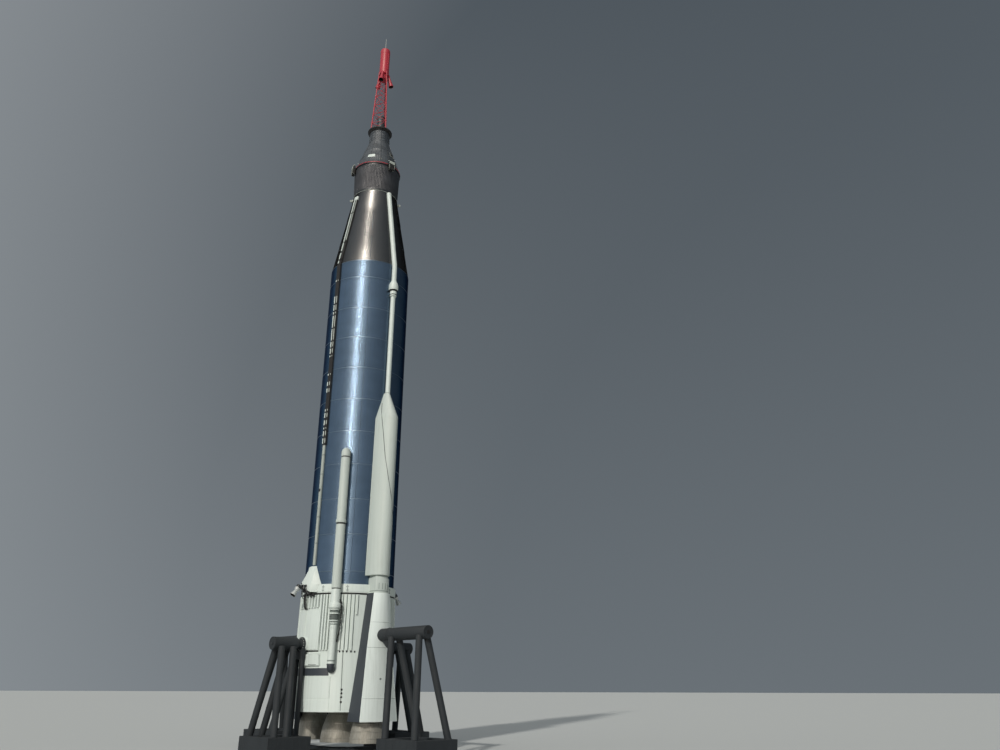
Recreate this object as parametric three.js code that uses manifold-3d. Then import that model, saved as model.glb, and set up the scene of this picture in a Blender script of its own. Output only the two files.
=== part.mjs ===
import * as THREE from 'three';
import { mergeVertices } from 'three/addons/utils/BufferGeometryUtils.js';
import Module from 'manifold-3d';

// A stage-and-a-half liquid rocket with its crew capsule, standing on four tubular display stands.
// Millimetres, +Z up. The origin is on the ground on the rocket's axis.
// Booster engine A and its nacelle lie along +X, booster engine B along -X.

const wasm = await Module();
wasm.setup();
const { Manifold, Mesh } = wasm;

const GAP = 0.3;
const SEGMENTS = 64;

// Radii of the rocket's own body.
const TANK_R = 1524;
const NOSE_TOP_R = 890;
const CAPSULE_R = 950;
const NECK_R = 430;
const SKIRT_TOP_R = 1560;
const SKIRT_LOW_R = 1600;
const SKIRT_WALL = 30;

// Heights above the ground.
const Z = {
  bellExit: 330,
  nacelleBottom: 950,
  skirtBottom: 1220,
  gimbal: 2480,
  thrustBeam: 2760,
  skirtTop: 4850,
  ringTop: 5130,
  shoulder: 17245,
  adapter: 20850,
  capsule: 22180,
  neck: 23650,
  towerRing: 24180,
  towerFoot: 24300,
  towerHead: 27150,
  motor: 27550,
  motorTop: 28800,
  tip: 29500,
};

const paint = (hex, roughness, metalness) => new THREE.MeshStandardMaterial({
  color: hex,
  roughness,
  metalness,
});
const STEEL = paint(0x5c6a78, 0.3, 0.9);
const DARK_STEEL = paint(0x4a4d50, 0.45, 0.8);
const ADAPTER_GREY = paint(0x3c3f42, 0.55, 0.4);
const CAPSULE_GREY = paint(0x35393d, 0.6, 0.3);
const WHITE = paint(0xd2d8d0, 0.5, 0.0);
const RED = paint(0xb3262a, 0.5, 0.0);
const BLACK = paint(0x1b1d20, 0.6, 0.0);
const SILVER = paint(0xb8bcbc, 0.35, 0.8);
const ENGINE = paint(0xa19d95, 0.45, 0.7);
const STAND = paint(0x363f44, 0.6, 0.1);

// Solids: every shape becomes a manifold solid, and a mesh is made from it at the end.

function solid(geometry) {
  const bare = geometry.clone();
  bare.deleteAttribute('normal');
  bare.deleteAttribute('uv');
  const merged = mergeVertices(bare, 1e-3);
  const p = merged.attributes.position.array;
  const index = merged.index.array;
  const triangles = [];
  let volume = 0;
  for (let i = 0; i < index.length; i += 3) {
    const [a, b, c] = [index[i], index[i + 1], index[i + 2]];
    if (a === b || b === c || c === a) continue;
    triangles.push(a, b, c);
    const [u, v, w] = [a, b, c].map((k) => new THREE.Vector3(p[3 * k], p[3 * k + 1], p[3 * k + 2]));
    volume += u.dot(v.cross(w));
  }
  if (volume < 0) {
    for (let i = 0; i < triangles.length; i += 3) {
      [triangles[i], triangles[i + 1]] = [triangles[i + 1], triangles[i]];
    }
  }
  return new Manifold(new Mesh({
    numProp: 3,
    vertProperties: new Float32Array(p),
    triVerts: new Uint32Array(triangles),
  }));
}

function geometryOf(shape) {
  const { vertProperties, triVerts, numProp } = shape.getMesh();
  const positions = new Float32Array((vertProperties.length / numProp) * 3);
  for (let i = 0; i < positions.length / 3; i += 1) {
    for (let k = 0; k < 3; k += 1) positions[3 * i + k] = vertProperties[numProp * i + k];
  }
  const geometry = new THREE.BufferGeometry();
  geometry.setAttribute('position', new THREE.BufferAttribute(positions, 3));
  geometry.setIndex(new THREE.BufferAttribute(new Uint32Array(triVerts), 1));
  geometry.computeVertexNormals();
  return geometry;
}

const union = (shapes) => Manifold.union(shapes);
const box = (x0, x1, y0, y1, z0, z1) => solid(new THREE.BoxGeometry(x1 - x0, y1 - y0, z1 - z0)
  .translate((x0 + x1) / 2, (y0 + y1) / 2, (z0 + z1) / 2));

// A solid of revolution about Z; the profile lists [radius, height] from the axis or round a closed loop.
function turned(profile, segments = SEGMENTS) {
  const points = profile.map(([radius, height]) => new THREE.Vector2(radius, height));
  return solid(new THREE.LatheGeometry(points, segments).rotateX(Math.PI / 2));
}

const disc = (radius, z0, z1, segments = SEGMENTS) => turned(
  [[0, z0], [radius, z0], [radius, z1], [0, z1]],
  segments,
);
const ring = (inner, outer, z0, z1, segments = SEGMENTS) => turned(
  [[inner, z0], [outer, z0], [outer, z1], [inner, z1], [inner, z0]],
  segments,
);

// A round bar from point p to point q.
function bar(p, q, radius, sides = 8, endRadius = radius) {
  const from = new THREE.Vector3(...p);
  const along = new THREE.Vector3(...q).sub(from);
  const heading = along.clone().normalize();
  const turn = new THREE.Quaternion().setFromUnitVectors(new THREE.Vector3(0, 1, 0), heading);
  const geometry = new THREE.CylinderGeometry(endRadius, radius, along.length(), sides);
  geometry.applyQuaternion(turn);
  geometry.translate(from.x + along.x / 2, from.y + along.y / 2, from.z + along.z / 2);
  return solid(geometry);
}

// A solid through level outlines of equal point count, each { z, outline: [[x, y], ...] }.
function loft(sections) {
  const count = sections[0].outline.length;
  const positions = sections.flatMap(({ z, outline }) => outline.flatMap(([x, y]) => [x, y, z]));
  const index = [];
  for (let s = 0; s + 1 < sections.length; s += 1) {
    for (let i = 0; i < count; i += 1) {
      const [a, b] = [s * count + i, s * count + ((i + 1) % count)];
      index.push(a, b, b + count, a, b + count, a + count);
    }
  }
  const cap = (outline) => THREE.ShapeUtils.triangulateShape(
    outline.map(([x, y]) => new THREE.Vector2(x, y)),
    [],
  );
  const top = (sections.length - 1) * count;
  for (const [a, b, c] of cap(sections[0].outline)) index.push(c, b, a);
  for (const [a, b, c] of cap(sections[sections.length - 1].outline)) index.push(top + a, top + b, top + c);
  const geometry = new THREE.BufferGeometry();
  geometry.setAttribute('position', new THREE.BufferAttribute(new Float32Array(positions), 3));
  geometry.setIndex(index);
  return solid(geometry);
}

const spun = (shape, degrees) => shape.rotate([0, 0, degrees]);
const moved = (shape, x, y, z) => shape.translate([x, y, z]);

const rocket = new THREE.Group();
rocket.name = 'space_rocket';

function add(name, shape, material, parent = rocket) {
  const mesh = new THREE.Mesh(geometryOf(shape), material);
  mesh.name = name;
  parent.add(mesh);
  return mesh;
}

// Space that outside pieces keep clear of: the tank, the nose cone and the skirt, each with the seating gap.
const CORE_R = 1400;
const keepTank = disc(TANK_R + GAP, 0, Z.shoulder);
const keepNose = turned([
  [0, Z.shoulder], [TANK_R + GAP, Z.shoulder], [NOSE_TOP_R + GAP, Z.adapter], [0, Z.adapter],
]);
const RING_R = SKIRT_TOP_R + 35;
const keepRing = disc(RING_R + GAP, 0, Z.ringTop + GAP);
const keepSkirt = turned([
  [0, 0], [SKIRT_LOW_R + GAP, 0], [SKIRT_LOW_R + GAP, Z.skirtBottom],
  [SKIRT_TOP_R + GAP, Z.skirtTop + GAP], [0, Z.skirtTop + GAP],
]);

// Sustainer tank: a plain barrel whose aft cone hangs inside the skirt, and the tapered nose tank.
const AFT_CONE_R = 520;
const AFT_CONE_Z = 4150;
add('tank_barrel', turned([
  [0, AFT_CONE_Z], [AFT_CONE_R, AFT_CONE_Z], [TANK_R, Z.skirtTop + 60],
  [TANK_R, Z.shoulder - GAP], [0, Z.shoulder - GAP],
]), STEEL);
add('tank_nose_cone', turned([
  [0, Z.shoulder], [TANK_R, Z.shoulder], [NOSE_TOP_R, Z.adapter - GAP], [0, Z.adapter - GAP],
]), DARK_STEEL);

// Capsule adapter with its clamp ring and the ring's three covers, and the crew capsule above it.
const CLAMP = { height: 70, outer: CAPSULE_R + 15, adapterR: CAPSULE_R - 20 };
const CLAMP_COVER = {
  inner: CAPSULE_R + 6, outer: 1075, half: 130, below: 300, above: 150, polars: [-112, -1, 121],
};
const adapterTop = Z.capsule - CLAMP.height - GAP;
add('capsule_adapter', turned([
  [0, Z.adapter], [NOSE_TOP_R, Z.adapter], [CLAMP.adapterR, adapterTop], [0, adapterTop],
]), ADAPTER_GREY);
const clampCovers = CLAMP_COVER.polars.map((polar) => spun(box(
  CLAMP_COVER.inner,
  CLAMP_COVER.outer,
  -CLAMP_COVER.half,
  CLAMP_COVER.half,
  Z.capsule - CLAMP_COVER.below,
  Z.capsule + CLAMP_COVER.above,
), polar));
add('clamp_ring', union([disc(CLAMP.outer, Z.capsule - CLAMP.height, Z.capsule - GAP), ...clampCovers]), RED);
add('crew_capsule', turned([
  [0, Z.capsule], [CAPSULE_R, Z.capsule], [NECK_R, Z.neck],
  [NECK_R - 20, Z.towerRing - GAP], [0, Z.towerRing - GAP],
]), CAPSULE_GREY);
add('tower_ring', disc(NECK_R + 80, Z.towerRing, Z.towerFoot - GAP), BLACK);
const ANTENNA = { radius: 158, height: 820 };
add('antenna_canister', disc(ANTENNA.radius, Z.towerFoot, Z.towerFoot + ANTENNA.height, 32), SILVER);

// Escape tower: three legs with level rails and crossed diagonals in every bay.
const TOWER_FOOT_R = 400;
const TOWER_HEAD_R = 229;
const TOWER_TOP_R = 205;
const TOWER_BAYS = 6;
const LEG_BAR = 28;
const RAIL_BAR = 14;
function towerPoint(leg, level) {
  const t = level / TOWER_BAYS;
  const radius = TOWER_FOOT_R + (TOWER_HEAD_R - TOWER_FOOT_R) * t;
  const angle = (leg * 2 * Math.PI) / 3;
  return [radius * Math.cos(angle), radius * Math.sin(angle), Z.towerFoot + (Z.towerHead - Z.towerFoot) * t];
}
const towerBars = [];
for (let leg = 0; leg < 3; leg += 1) {
  const angle = (leg * 2 * Math.PI) / 3;
  const legTop = [TOWER_TOP_R * Math.cos(angle), TOWER_TOP_R * Math.sin(angle), Z.motor + LEG_BAR];
  towerBars.push(bar(towerPoint(leg, 0), legTop, LEG_BAR, 6));
  for (let level = 0; level <= TOWER_BAYS; level += 1) {
    const [here, next] = [towerPoint(leg, level), towerPoint(leg + 1, level)];
    if (level > 0) towerBars.push(bar(here, next, RAIL_BAR, 4));
    if (level === TOWER_BAYS) continue;
    towerBars.push(bar(here, towerPoint(leg + 1, level + 1), RAIL_BAR, 4));
    towerBars.push(bar(next, towerPoint(leg, level + 1), RAIL_BAR, 4));
  }
}
const TOWER_PLATE = { radius: 182, height: 40 };
towerBars.push(disc(TOWER_PLATE.radius, Z.towerHead, Z.towerHead + TOWER_PLATE.height, 24));
const towerSpace = disc(700, Z.towerFoot, Z.motor - GAP, 8);
add('escape_tower', union(towerBars).intersect(towerSpace), RED);

// Escape motor with three canted nozzles that pass outside the tower's head, and the spike.
const MOTOR = { radius: 212, capHeight: 60, capR: 196, plateR: 165 };
const NOZZLE = {
  polars: [-52, 68, 188], topR: 200, topZ: 27460, exitR: 352, exitZ: 26900, radius: 50, exitRadius: 110,
};
const nozzles = [disc(MOTOR.plateR, Z.towerHead + TOWER_PLATE.height + GAP, Z.motor - GAP, 24)];
for (const polar of NOZZLE.polars) {
  const top = [NOZZLE.topR, 0, NOZZLE.topZ];
  const exit = [NOZZLE.exitR, 0, NOZZLE.exitZ];
  nozzles.push(spun(bar(top, exit, NOZZLE.radius, 12, NOZZLE.exitRadius), polar));
}
add('escape_nozzles', union(nozzles), RED);
add('escape_motor', turned([
  [0, Z.motor], [MOTOR.radius, Z.motor], [MOTOR.radius, Z.motorTop - MOTOR.capHeight],
  [MOTOR.capR, Z.motorTop], [0, Z.motorTop],
], 32), RED);
const SPIKE = { foot: 26, tip: 8, straight: 60 };
add('escape_spike', turned([
  [0, Z.motorTop + GAP], [SPIKE.foot, Z.motorTop + GAP], [SPIKE.foot, Z.motorTop + SPIKE.straight],
  [SPIKE.tip, Z.tip], [0, Z.tip],
], 12), SILVER);

// Booster skirt: a thin wall open below, cut away where each engine bay runs out into its nacelle.
const BAY = { lowHalf: 550, highHalf: 300, top: 4200 };
const skirtWall = turned([
  [SKIRT_LOW_R - SKIRT_WALL, Z.skirtBottom], [SKIRT_LOW_R, Z.skirtBottom], [SKIRT_TOP_R, Z.skirtTop - GAP],
  [SKIRT_TOP_R - SKIRT_WALL, Z.skirtTop - GAP], [SKIRT_LOW_R - SKIRT_WALL, Z.skirtBottom],
]);
const bayOutline = (half) => [[-2000, -half], [2000, -half], [2000, half], [-2000, half]];
const bayCut = loft([
  { z: 0, outline: bayOutline(BAY.lowHalf) },
  { z: Z.skirtBottom, outline: bayOutline(BAY.lowHalf) },
  { z: BAY.top, outline: bayOutline(BAY.highHalf) },
]);
add('booster_skirt', skirtWall.subtract(bayCut), WHITE);
add('skirt_top_ring', ring(TANK_R + GAP, RING_R, Z.skirtTop, Z.ringTop), WHITE);

// Nacelles: a shell with flat flanks and a bowed outer face, wider towards the ground.
const NACELLE = { wall: 22, bow: 140, core: 1200, top: Z.skirtTop - GAP };
// Each row: height, radius of the flank's outer corner, half width.
const NACELLE_ROWS = [
  [Z.nacelleBottom, 2105, 715],
  [3150, 1950, 480],
  [NACELLE.top, 1930, 315],
];
function bowed(core, corner, half, bow, steps) {
  const outline = [[core, -half]];
  for (let i = 0; i <= steps; i += 1) {
    const t = (2 * i) / steps - 1;
    outline.push([corner + bow * (1 - t * t), half * t]);
  }
  outline.push([core, half]);
  return outline;
}
function nacelleBlock(inset, bottom, top) {
  return loft(NACELLE_ROWS.map(([z, corner, half], i) => ({
    z: [bottom, z, top][i],
    outline: bowed(NACELLE.core, corner - inset, half - inset, NACELLE.bow, 8),
  })));
}
const nacelleOuter = nacelleBlock(0, Z.nacelleBottom, NACELLE.top);
const nacelleInner = nacelleBlock(NACELLE.wall, Z.nacelleBottom - 100, NACELLE.top - NACELLE.wall);
const nacelleSpace = nacelleBlock(-GAP, Z.nacelleBottom - GAP, NACELLE.top + GAP);
const nacelleA = nacelleOuter.subtract(nacelleInner).subtract(keepSkirt);
add('nacelle_a', nacelleA, WHITE);
add('nacelle_b', spun(nacelleA, 180), WHITE);

// Equipment pods on the tank above the nacelles, each standing on a collar on the nacelle's top.
// The pod's section is half an oval on the tank: half width across, reach from its foot outwards.
const POD = { bottom: 5420, shoulder: 10950, top: 11950, foot: 1480 };
const COLLAR = { half: 262, corner: 1920, bow: 100, bevel: 110, bevelHalf: 225, bevelCorner: 1860 };
function podOutline(half, reach) {
  const steps = 8;
  const outline = [[CORE_R, -half]];
  for (let i = 0; i <= steps; i += 1) {
    const angle = Math.PI * (i / steps - 0.5);
    outline.push([POD.foot + reach * Math.cos(angle), half * Math.sin(angle)]);
  }
  outline.push([CORE_R, half]);
  return outline;
}
function pod() {
  return loft([
    { z: POD.bottom, outline: podOutline(400, 600) },
    { z: POD.shoulder, outline: podOutline(362, 680) },
    { z: POD.top, outline: podOutline(90, 225) },
  ]).subtract(keepTank);
}
function podCollar() {
  const straight = bowed(CORE_R, COLLAR.corner, COLLAR.half, COLLAR.bow, 4);
  return loft([
    { z: Z.skirtTop, outline: straight },
    { z: POD.bottom - COLLAR.bevel, outline: straight },
    { z: POD.bottom - GAP, outline: bowed(CORE_R, COLLAR.bevelCorner, COLLAR.bevelHalf, COLLAR.bow, 4) },
  ]).subtract(keepRing).subtract(keepTank);
}
for (const [letter, polar] of [['a', 0], ['b', 180]]) {
  add(`equipment_pod_${letter}`, spun(pod(), polar), WHITE);
  add(`pod_collar_${letter}`, spun(podCollar(), polar), WHITE);
}

// Cable conduit from the capsule adapter down the nose cone and the tank to pod A's point.
const CONDUIT = { radius: 90, noseR: 95, noseSeat: 55, shoulderSeat: 70, start: Z.adapter - 120 };
const HOUSING = {
  bottom: 15850, collarTop: 16060, mouth: 16110, top: 16550,
  collar: 125, neck: 105, lip: 165, radius: 182, brow: 140,
};
const conduitAxisR = TANK_R + CONDUIT.radius;
const shoulderPoint = [TANK_R + CONDUIT.shoulderSeat, 0, Z.shoulder];
const tankPoint = [conduitAxisR, 0, HOUSING.top + 3];
const noseConduit = union([
  bar([NOSE_TOP_R + CONDUIT.noseSeat, 0, CONDUIT.start], shoulderPoint, CONDUIT.noseR, 12),
  bar([shoulderPoint[0], 0, Z.shoulder + 30], tankPoint, CONDUIT.noseR, 12, CONDUIT.radius),
]).subtract(keepNose).subtract(keepTank);
add('conduit_nose', noseConduit, WHITE);
add('conduit_housing', moved(turned([
  [0, HOUSING.bottom], [HOUSING.collar, HOUSING.bottom], [HOUSING.collar, HOUSING.collarTop],
  [HOUSING.neck, HOUSING.collarTop], [HOUSING.neck, HOUSING.mouth], [HOUSING.lip, HOUSING.mouth],
  [HOUSING.radius, HOUSING.mouth + 90], [HOUSING.radius, HOUSING.mouth + 180],
  [HOUSING.brow, HOUSING.top - 120], [CONDUIT.radius, HOUSING.top], [0, HOUSING.top],
], 24), conduitAxisR, 0, 0).subtract(keepTank), WHITE);
const podPoint = [conduitAxisR, 0, POD.top + GAP];
const conduitPipe = bar(podPoint, [conduitAxisR, 0, HOUSING.bottom - GAP], CONDUIT.radius, 12);
add('conduit_tank', conduitPipe.subtract(keepTank), WHITE);

// Raceway: a flat box along the tank, narrower in its lower part, and a strip up the nose cone.
const RACEWAY = {
  polar: -85.5, width: 180, lowWidth: 110, topWidth: 200, depth: 55, bottom: 5780, step: 9970, top: 20600,
};
const racewayPart = (width, depth, z0, z1) => box(CORE_R, TANK_R + depth, -width / 2, width / 2, z0, z1);
const racewayBoxes = union([
  racewayPart(RACEWAY.width, RACEWAY.depth, RACEWAY.step, Z.shoulder - GAP),
  racewayPart(RACEWAY.lowWidth, RACEWAY.depth - 5, RACEWAY.bottom, RACEWAY.step + 10),
]);
add('raceway_tank', spun(racewayBoxes, RACEWAY.polar).subtract(keepTank), WHITE);
const noseSlope = (TANK_R - NOSE_TOP_R) / (Z.adapter - Z.shoulder);
const noseRadius = (z) => TANK_R - (z - Z.shoulder) * noseSlope;
function stripOutline(z, width) {
  const [inner, outer] = [noseRadius(z) - 200, noseRadius(z) + RACEWAY.depth];
  return [[inner, -width / 2], [outer, -width / 2], [outer, width / 2], [inner, width / 2]];
}
const noseStrip = loft([
  { z: Z.shoulder, outline: stripOutline(Z.shoulder, RACEWAY.width) },
  { z: RACEWAY.top, outline: stripOutline(RACEWAY.top, RACEWAY.topWidth) },
]);
add('raceway_nose', spun(noseStrip, RACEWAY.polar).subtract(keepNose), WHITE);

// Liquid oxygen line down the outside, with its valve body, bellows and lower pipe.
const LOX = {
  polar: -48, axisR: 1730, radius: 155, top: 9710, joint: 7160, jointR: 177, jointHalf: 50,
  valve: 4970, bellows: 4310, lower: 3820, end: 2450, lowR: 115, saddles: [9200, 7600, 6000],
};
const loxAt = (shape) => spun(moved(shape, LOX.axisR, 0, 0), LOX.polar);
const loxSaddles = LOX.saddles.map((z) => box(CORE_R, LOX.axisR, -90, 90, z, z + 60));
add('lox_line', spun(union([
  moved(turned([
    [0, LOX.valve], [LOX.radius, LOX.valve], [LOX.radius, LOX.joint - LOX.jointHalf],
    [LOX.jointR, LOX.joint - LOX.jointHalf], [LOX.jointR, LOX.joint + LOX.jointHalf],
    [LOX.radius, LOX.joint + LOX.jointHalf], [LOX.radius, LOX.top - 130],
    [LOX.radius - 35, LOX.top - 40], [LOX.radius - 100, LOX.top], [0, LOX.top],
  ], 24), LOX.axisR, 0, 0),
  ...loxSaddles,
]), LOX.polar).subtract(keepTank).subtract(keepRing), WHITE);
const VALVE = { foot: 150, belly: 195, waist: 148, neck: 152, bellyLow: 4345, bellyHigh: 4455, waistZ: 4520 };
add('lox_valve', loxAt(turned([
  [0, LOX.bellows + GAP], [VALVE.foot, LOX.bellows + GAP], [VALVE.belly, VALVE.bellyLow],
  [VALVE.belly, VALVE.bellyHigh], [VALVE.waist, VALVE.waistZ], [VALVE.neck, LOX.valve - GAP],
  [0, LOX.valve - GAP],
], 24)).subtract(keepRing), WHITE);
const BELLOWS = { rings: 5, inner: 115, outer: 155 };
const bellowsProfile = [[0, LOX.lower + GAP]];
const bellowsPitch = (LOX.bellows - LOX.lower - 2 * GAP) / BELLOWS.rings;
for (let i = 0; i < BELLOWS.rings; i += 1) {
  const z = LOX.lower + GAP + i * bellowsPitch;
  bellowsProfile.push([BELLOWS.inner, z], [BELLOWS.outer, z + bellowsPitch / 2]);
}
bellowsProfile.push([BELLOWS.inner, LOX.bellows - GAP], [0, LOX.bellows - GAP]);
add('lox_bellows', loxAt(turned(bellowsProfile, 24)), WHITE);
const elbowZ = LOX.end + LOX.lowR;
add('lox_lower_pipe', spun(union([
  bar([LOX.axisR, 0, LOX.end], [LOX.axisR, 0, LOX.lower], LOX.lowR, 16),
  bar([LOX.axisR, 0, elbowZ], [CORE_R, 0, elbowZ], LOX.lowR - 5, 16),
]), LOX.polar).subtract(keepSkirt), WHITE);

// Thrust frame inside the skirt: a cross of beams with a yoke over each main engine.
// Each row: name, x and y of its gimbal, length from the gimbal to the bell's exit, radius of the exit.
const ENGINES = [
  ['booster_a', 1560, 0, Z.gimbal - Z.bellExit, 555],
  ['booster_b', -1560, 0, Z.gimbal - Z.bellExit, 555],
  ['sustainer', 0, 0, 2180, 610],
];
const THRUST = { height: 220, half: 110, alongX: 1720, alongY: 1700, bayReach: 1800, bayHalf: 280 };
const thrustTop = Z.thrustBeam + THRUST.height;
const CHEEK = { inner: 90, outer: 130, half: 60 };
const PIN_GAP = 0.4;
const frameParts = [
  box(-THRUST.alongX, THRUST.alongX, -THRUST.half, THRUST.half, Z.thrustBeam, thrustTop),
  box(-THRUST.half, THRUST.half, -THRUST.alongY, THRUST.alongY, Z.thrustBeam, thrustTop),
];
// The two ends of a cheek's thickness on one side, smaller first.
const cheekEnds = (side) => [side * CHEEK.inner, side * CHEEK.outer].sort((a, b) => a - b);
for (const [, x, y] of ENGINES) {
  for (const side of [-1, 1]) {
    const [near, far] = cheekEnds(side);
    const [back, front] = [y - CHEEK.half, y + CHEEK.half];
    frameParts.push(box(x + near, x + far, back, front, Z.gimbal - CHEEK.half, Z.thrustBeam + 1));
  }
}
const skirtInside = turned([
  [0, 0], [SKIRT_LOW_R - SKIRT_WALL - GAP, 0], [SKIRT_LOW_R - SKIRT_WALL - GAP, Z.skirtBottom],
  [SKIRT_TOP_R - SKIRT_WALL - GAP, Z.skirtTop], [0, Z.skirtTop],
]);
const bayInside = box(-THRUST.bayReach, THRUST.bayReach, -THRUST.bayHalf, THRUST.bayHalf, 0, Z.skirtTop);
add('thrust_frame', union(frameParts).intersect(skirtInside.add(bayInside)), DARK_STEEL);

// Main engines: gimbal cross, clevis, injector dome, chamber and hollow bell, all about the gimbal point.
const BELL = {
  wall: 14, throatR: 165, chamberR: 215, domeR: 120, domeTop: -200, chamberEnd: -560, throat: -760,
};
function bellProfile(length, exitR) {
  const steps = 5;
  const outer = [];
  for (let i = 0; i <= steps; i += 1) {
    const t = i / steps;
    const flare = Math.sin((t * Math.PI) / 2) ** 1.15;
    outer.push([BELL.throatR + (exitR - BELL.throatR) * flare, BELL.throat - (length + BELL.throat) * t]);
  }
  const inner = outer.map(([radius, z]) => [radius - BELL.wall, z]).reverse();
  return [
    [0, BELL.domeTop], [BELL.domeR, BELL.domeTop], [BELL.chamberR, BELL.domeTop - 90],
    [BELL.chamberR, BELL.chamberEnd],
    ...outer, ...inner, [0, BELL.throat - 2],
  ];
}
function engine(length, exitR) {
  const cheeks = [-1, 1].map((side) => {
    const [near, far] = cheekEnds(side);
    return box(-CHEEK.half, CHEEK.half, near, far, BELL.domeTop - 60, CHEEK.half);
  });
  return union([turned(bellProfile(length, exitR), 24), ...cheeks]);
}
const CROSS = { half: 48, pinR: 32 };
function gimbalCross() {
  const reach = CHEEK.inner - PIN_GAP;
  const h = CROSS.half;
  return union([
    box(-h, h, -h, h, -h, h),
    bar([-reach, 0, 0], [reach, 0, 0], CROSS.pinR, 12),
    bar([0, -reach, 0], [0, reach, 0], CROSS.pinR, 12),
  ]);
}
for (const [name, x, y, length, exitR] of ENGINES) {
  const mount = new THREE.Group();
  mount.position.set(x, y, Z.gimbal);
  rocket.add(mount);
  add(`${name}_gimbal`, gimbalCross(), DARK_STEEL, mount);
  add(`${name}_engine`, engine(length, exitR), ENGINE, mount);
}

// Vernier engines: a tapered fairing on the tank whose cheeks hang over the ring, open below and in
// front, a bracket on the ring and the swivelling engine.
const VERNIER = {
  axisZ: 5050, mountHalf: 85, mountRise: 75, mountEnd: 1870, pivotR: 1990, pinR: 55, cant: 34,
};
const FAIRING = {
  apex: 5750, bottom: 4880, mouthHalf: 106, mouthFrom: 1600, mouthTo: 1900, lowSide: 320, slope: 20,
};
// Half of each level outline, from the tank to the middle: [radius, half width].
const FAIRING_LOW = [[1300, 500], [1455, 500], [1740, 320], [1750, 100]];
const FAIRING_INNER = [[1290, 482], [1449, 482], [1720, 310], [1730, 96]];
const FAIRING_HIGH = [[1300, 225], [1515, 225], [1570, 50], [1572, 20]];
const mirrored = (half) => [...half.map(([x, y]) => [x, -y]), ...half.map(([x, y]) => [x, y]).reverse()];
function vernierFairing() {
  const { apex, bottom, mouthHalf, mouthFrom, mouthTo, lowSide, slope } = FAIRING;
  const seat = Z.ringTop + GAP;
  const shell = loft([
    { z: bottom, outline: mirrored(FAIRING_LOW) },
    { z: seat, outline: mirrored(FAIRING_LOW) },
    { z: apex, outline: mirrored(FAIRING_HIGH) },
  ]);
  const hollow = loft([
    { z: bottom - 10, outline: mirrored(FAIRING_INNER) },
    { z: seat, outline: mirrored(FAIRING_INNER) },
  ]);
  const mouth = box(mouthFrom, mouthTo, -mouthHalf, mouthHalf, bottom - 10, seat);
  // The foot rises from one cheek to the other, clear of the engine's swing.
  const slanted = moved(box(1000, 2000, -1200, 0, -500, 0).rotate([-slope, 0, 0]), 0, lowSide, bottom);
  const footCut = slanted.intersect(box(1000, 2000, -1000, 1000, 0, seat));
  return shell.subtract(hollow).subtract(mouth).subtract(footCut).subtract(keepTank).subtract(keepRing);
}
function vernierMount() {
  const { mountHalf, mountRise, mountEnd, axisZ } = VERNIER;
  return box(1500, mountEnd, -mountHalf, mountHalf, axisZ - mountRise, axisZ + mountRise).subtract(keepRing);
}
function vernierEngine() {
  const nozzle = turned([
    [0, 60], [75, 60], [85, 20], [85, -110], [45, -160], [105, -340], [93, -340], [33, -165], [0, -165],
  ], 20).rotate([0, -VERNIER.cant, 0]);
  const start = VERNIER.mountEnd + PIN_GAP - VERNIER.pivotR;
  return union([nozzle, bar([start, 0, 0], [0, 0, 0], VERNIER.pinR, 16)]);
}
for (const [letter, polar] of [['a', -90], ['b', 90]]) {
  add(`vernier_fairing_${letter}`, spun(vernierFairing(), polar), WHITE);
  add(`vernier_mount_${letter}`, spun(vernierMount(), polar), DARK_STEEL);
  const pivot = new THREE.Group();
  pivot.rotation.z = THREE.MathUtils.degToRad(polar);
  const arm = new THREE.Group();
  arm.position.set(VERNIER.pivotR, 0, VERNIER.axisZ);
  pivot.add(arm);
  rocket.add(pivot);
  add(`vernier_engine_${letter}`, vernierEngine(), ENGINE, arm);
}

// Display stands, each a level tube pointing outwards on four splayed legs with a deep plinth frame.
// The side stands hold the skirt by a flange, a neck and two posts; the nacelle stands hold the nacelles.
const SIDE = {
  z: 3250, tube: 200, start: 1890, end: 2760, stations: [2080, 2490], rake: 0.12, splay: 0.21, spread: 160,
  plinthStart: 1610, plinthEnd: 3080,
};
const FLANGE = { bossR: 230, start: 1665, end: 1725, radius: 225, neckR: 150 };
const POST = {
  x: 1725, y: 170, radius: 78, headLow: 2780, headHigh: 3120, headFrom: 1672, headTo: 1790, headHalf: 248,
};
const FRONT = {
  z: 3525, tube: 200, start: 2470, end: 4400, stations: [2733, 4124], rake: 0.19, splay: 0.164, spread: 133,
  plinthStart: 3080, plinthEnd: 4960,
};
const SOCKET = { from: 1850, half: 85, collarR: 214, collar: 40 };
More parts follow.
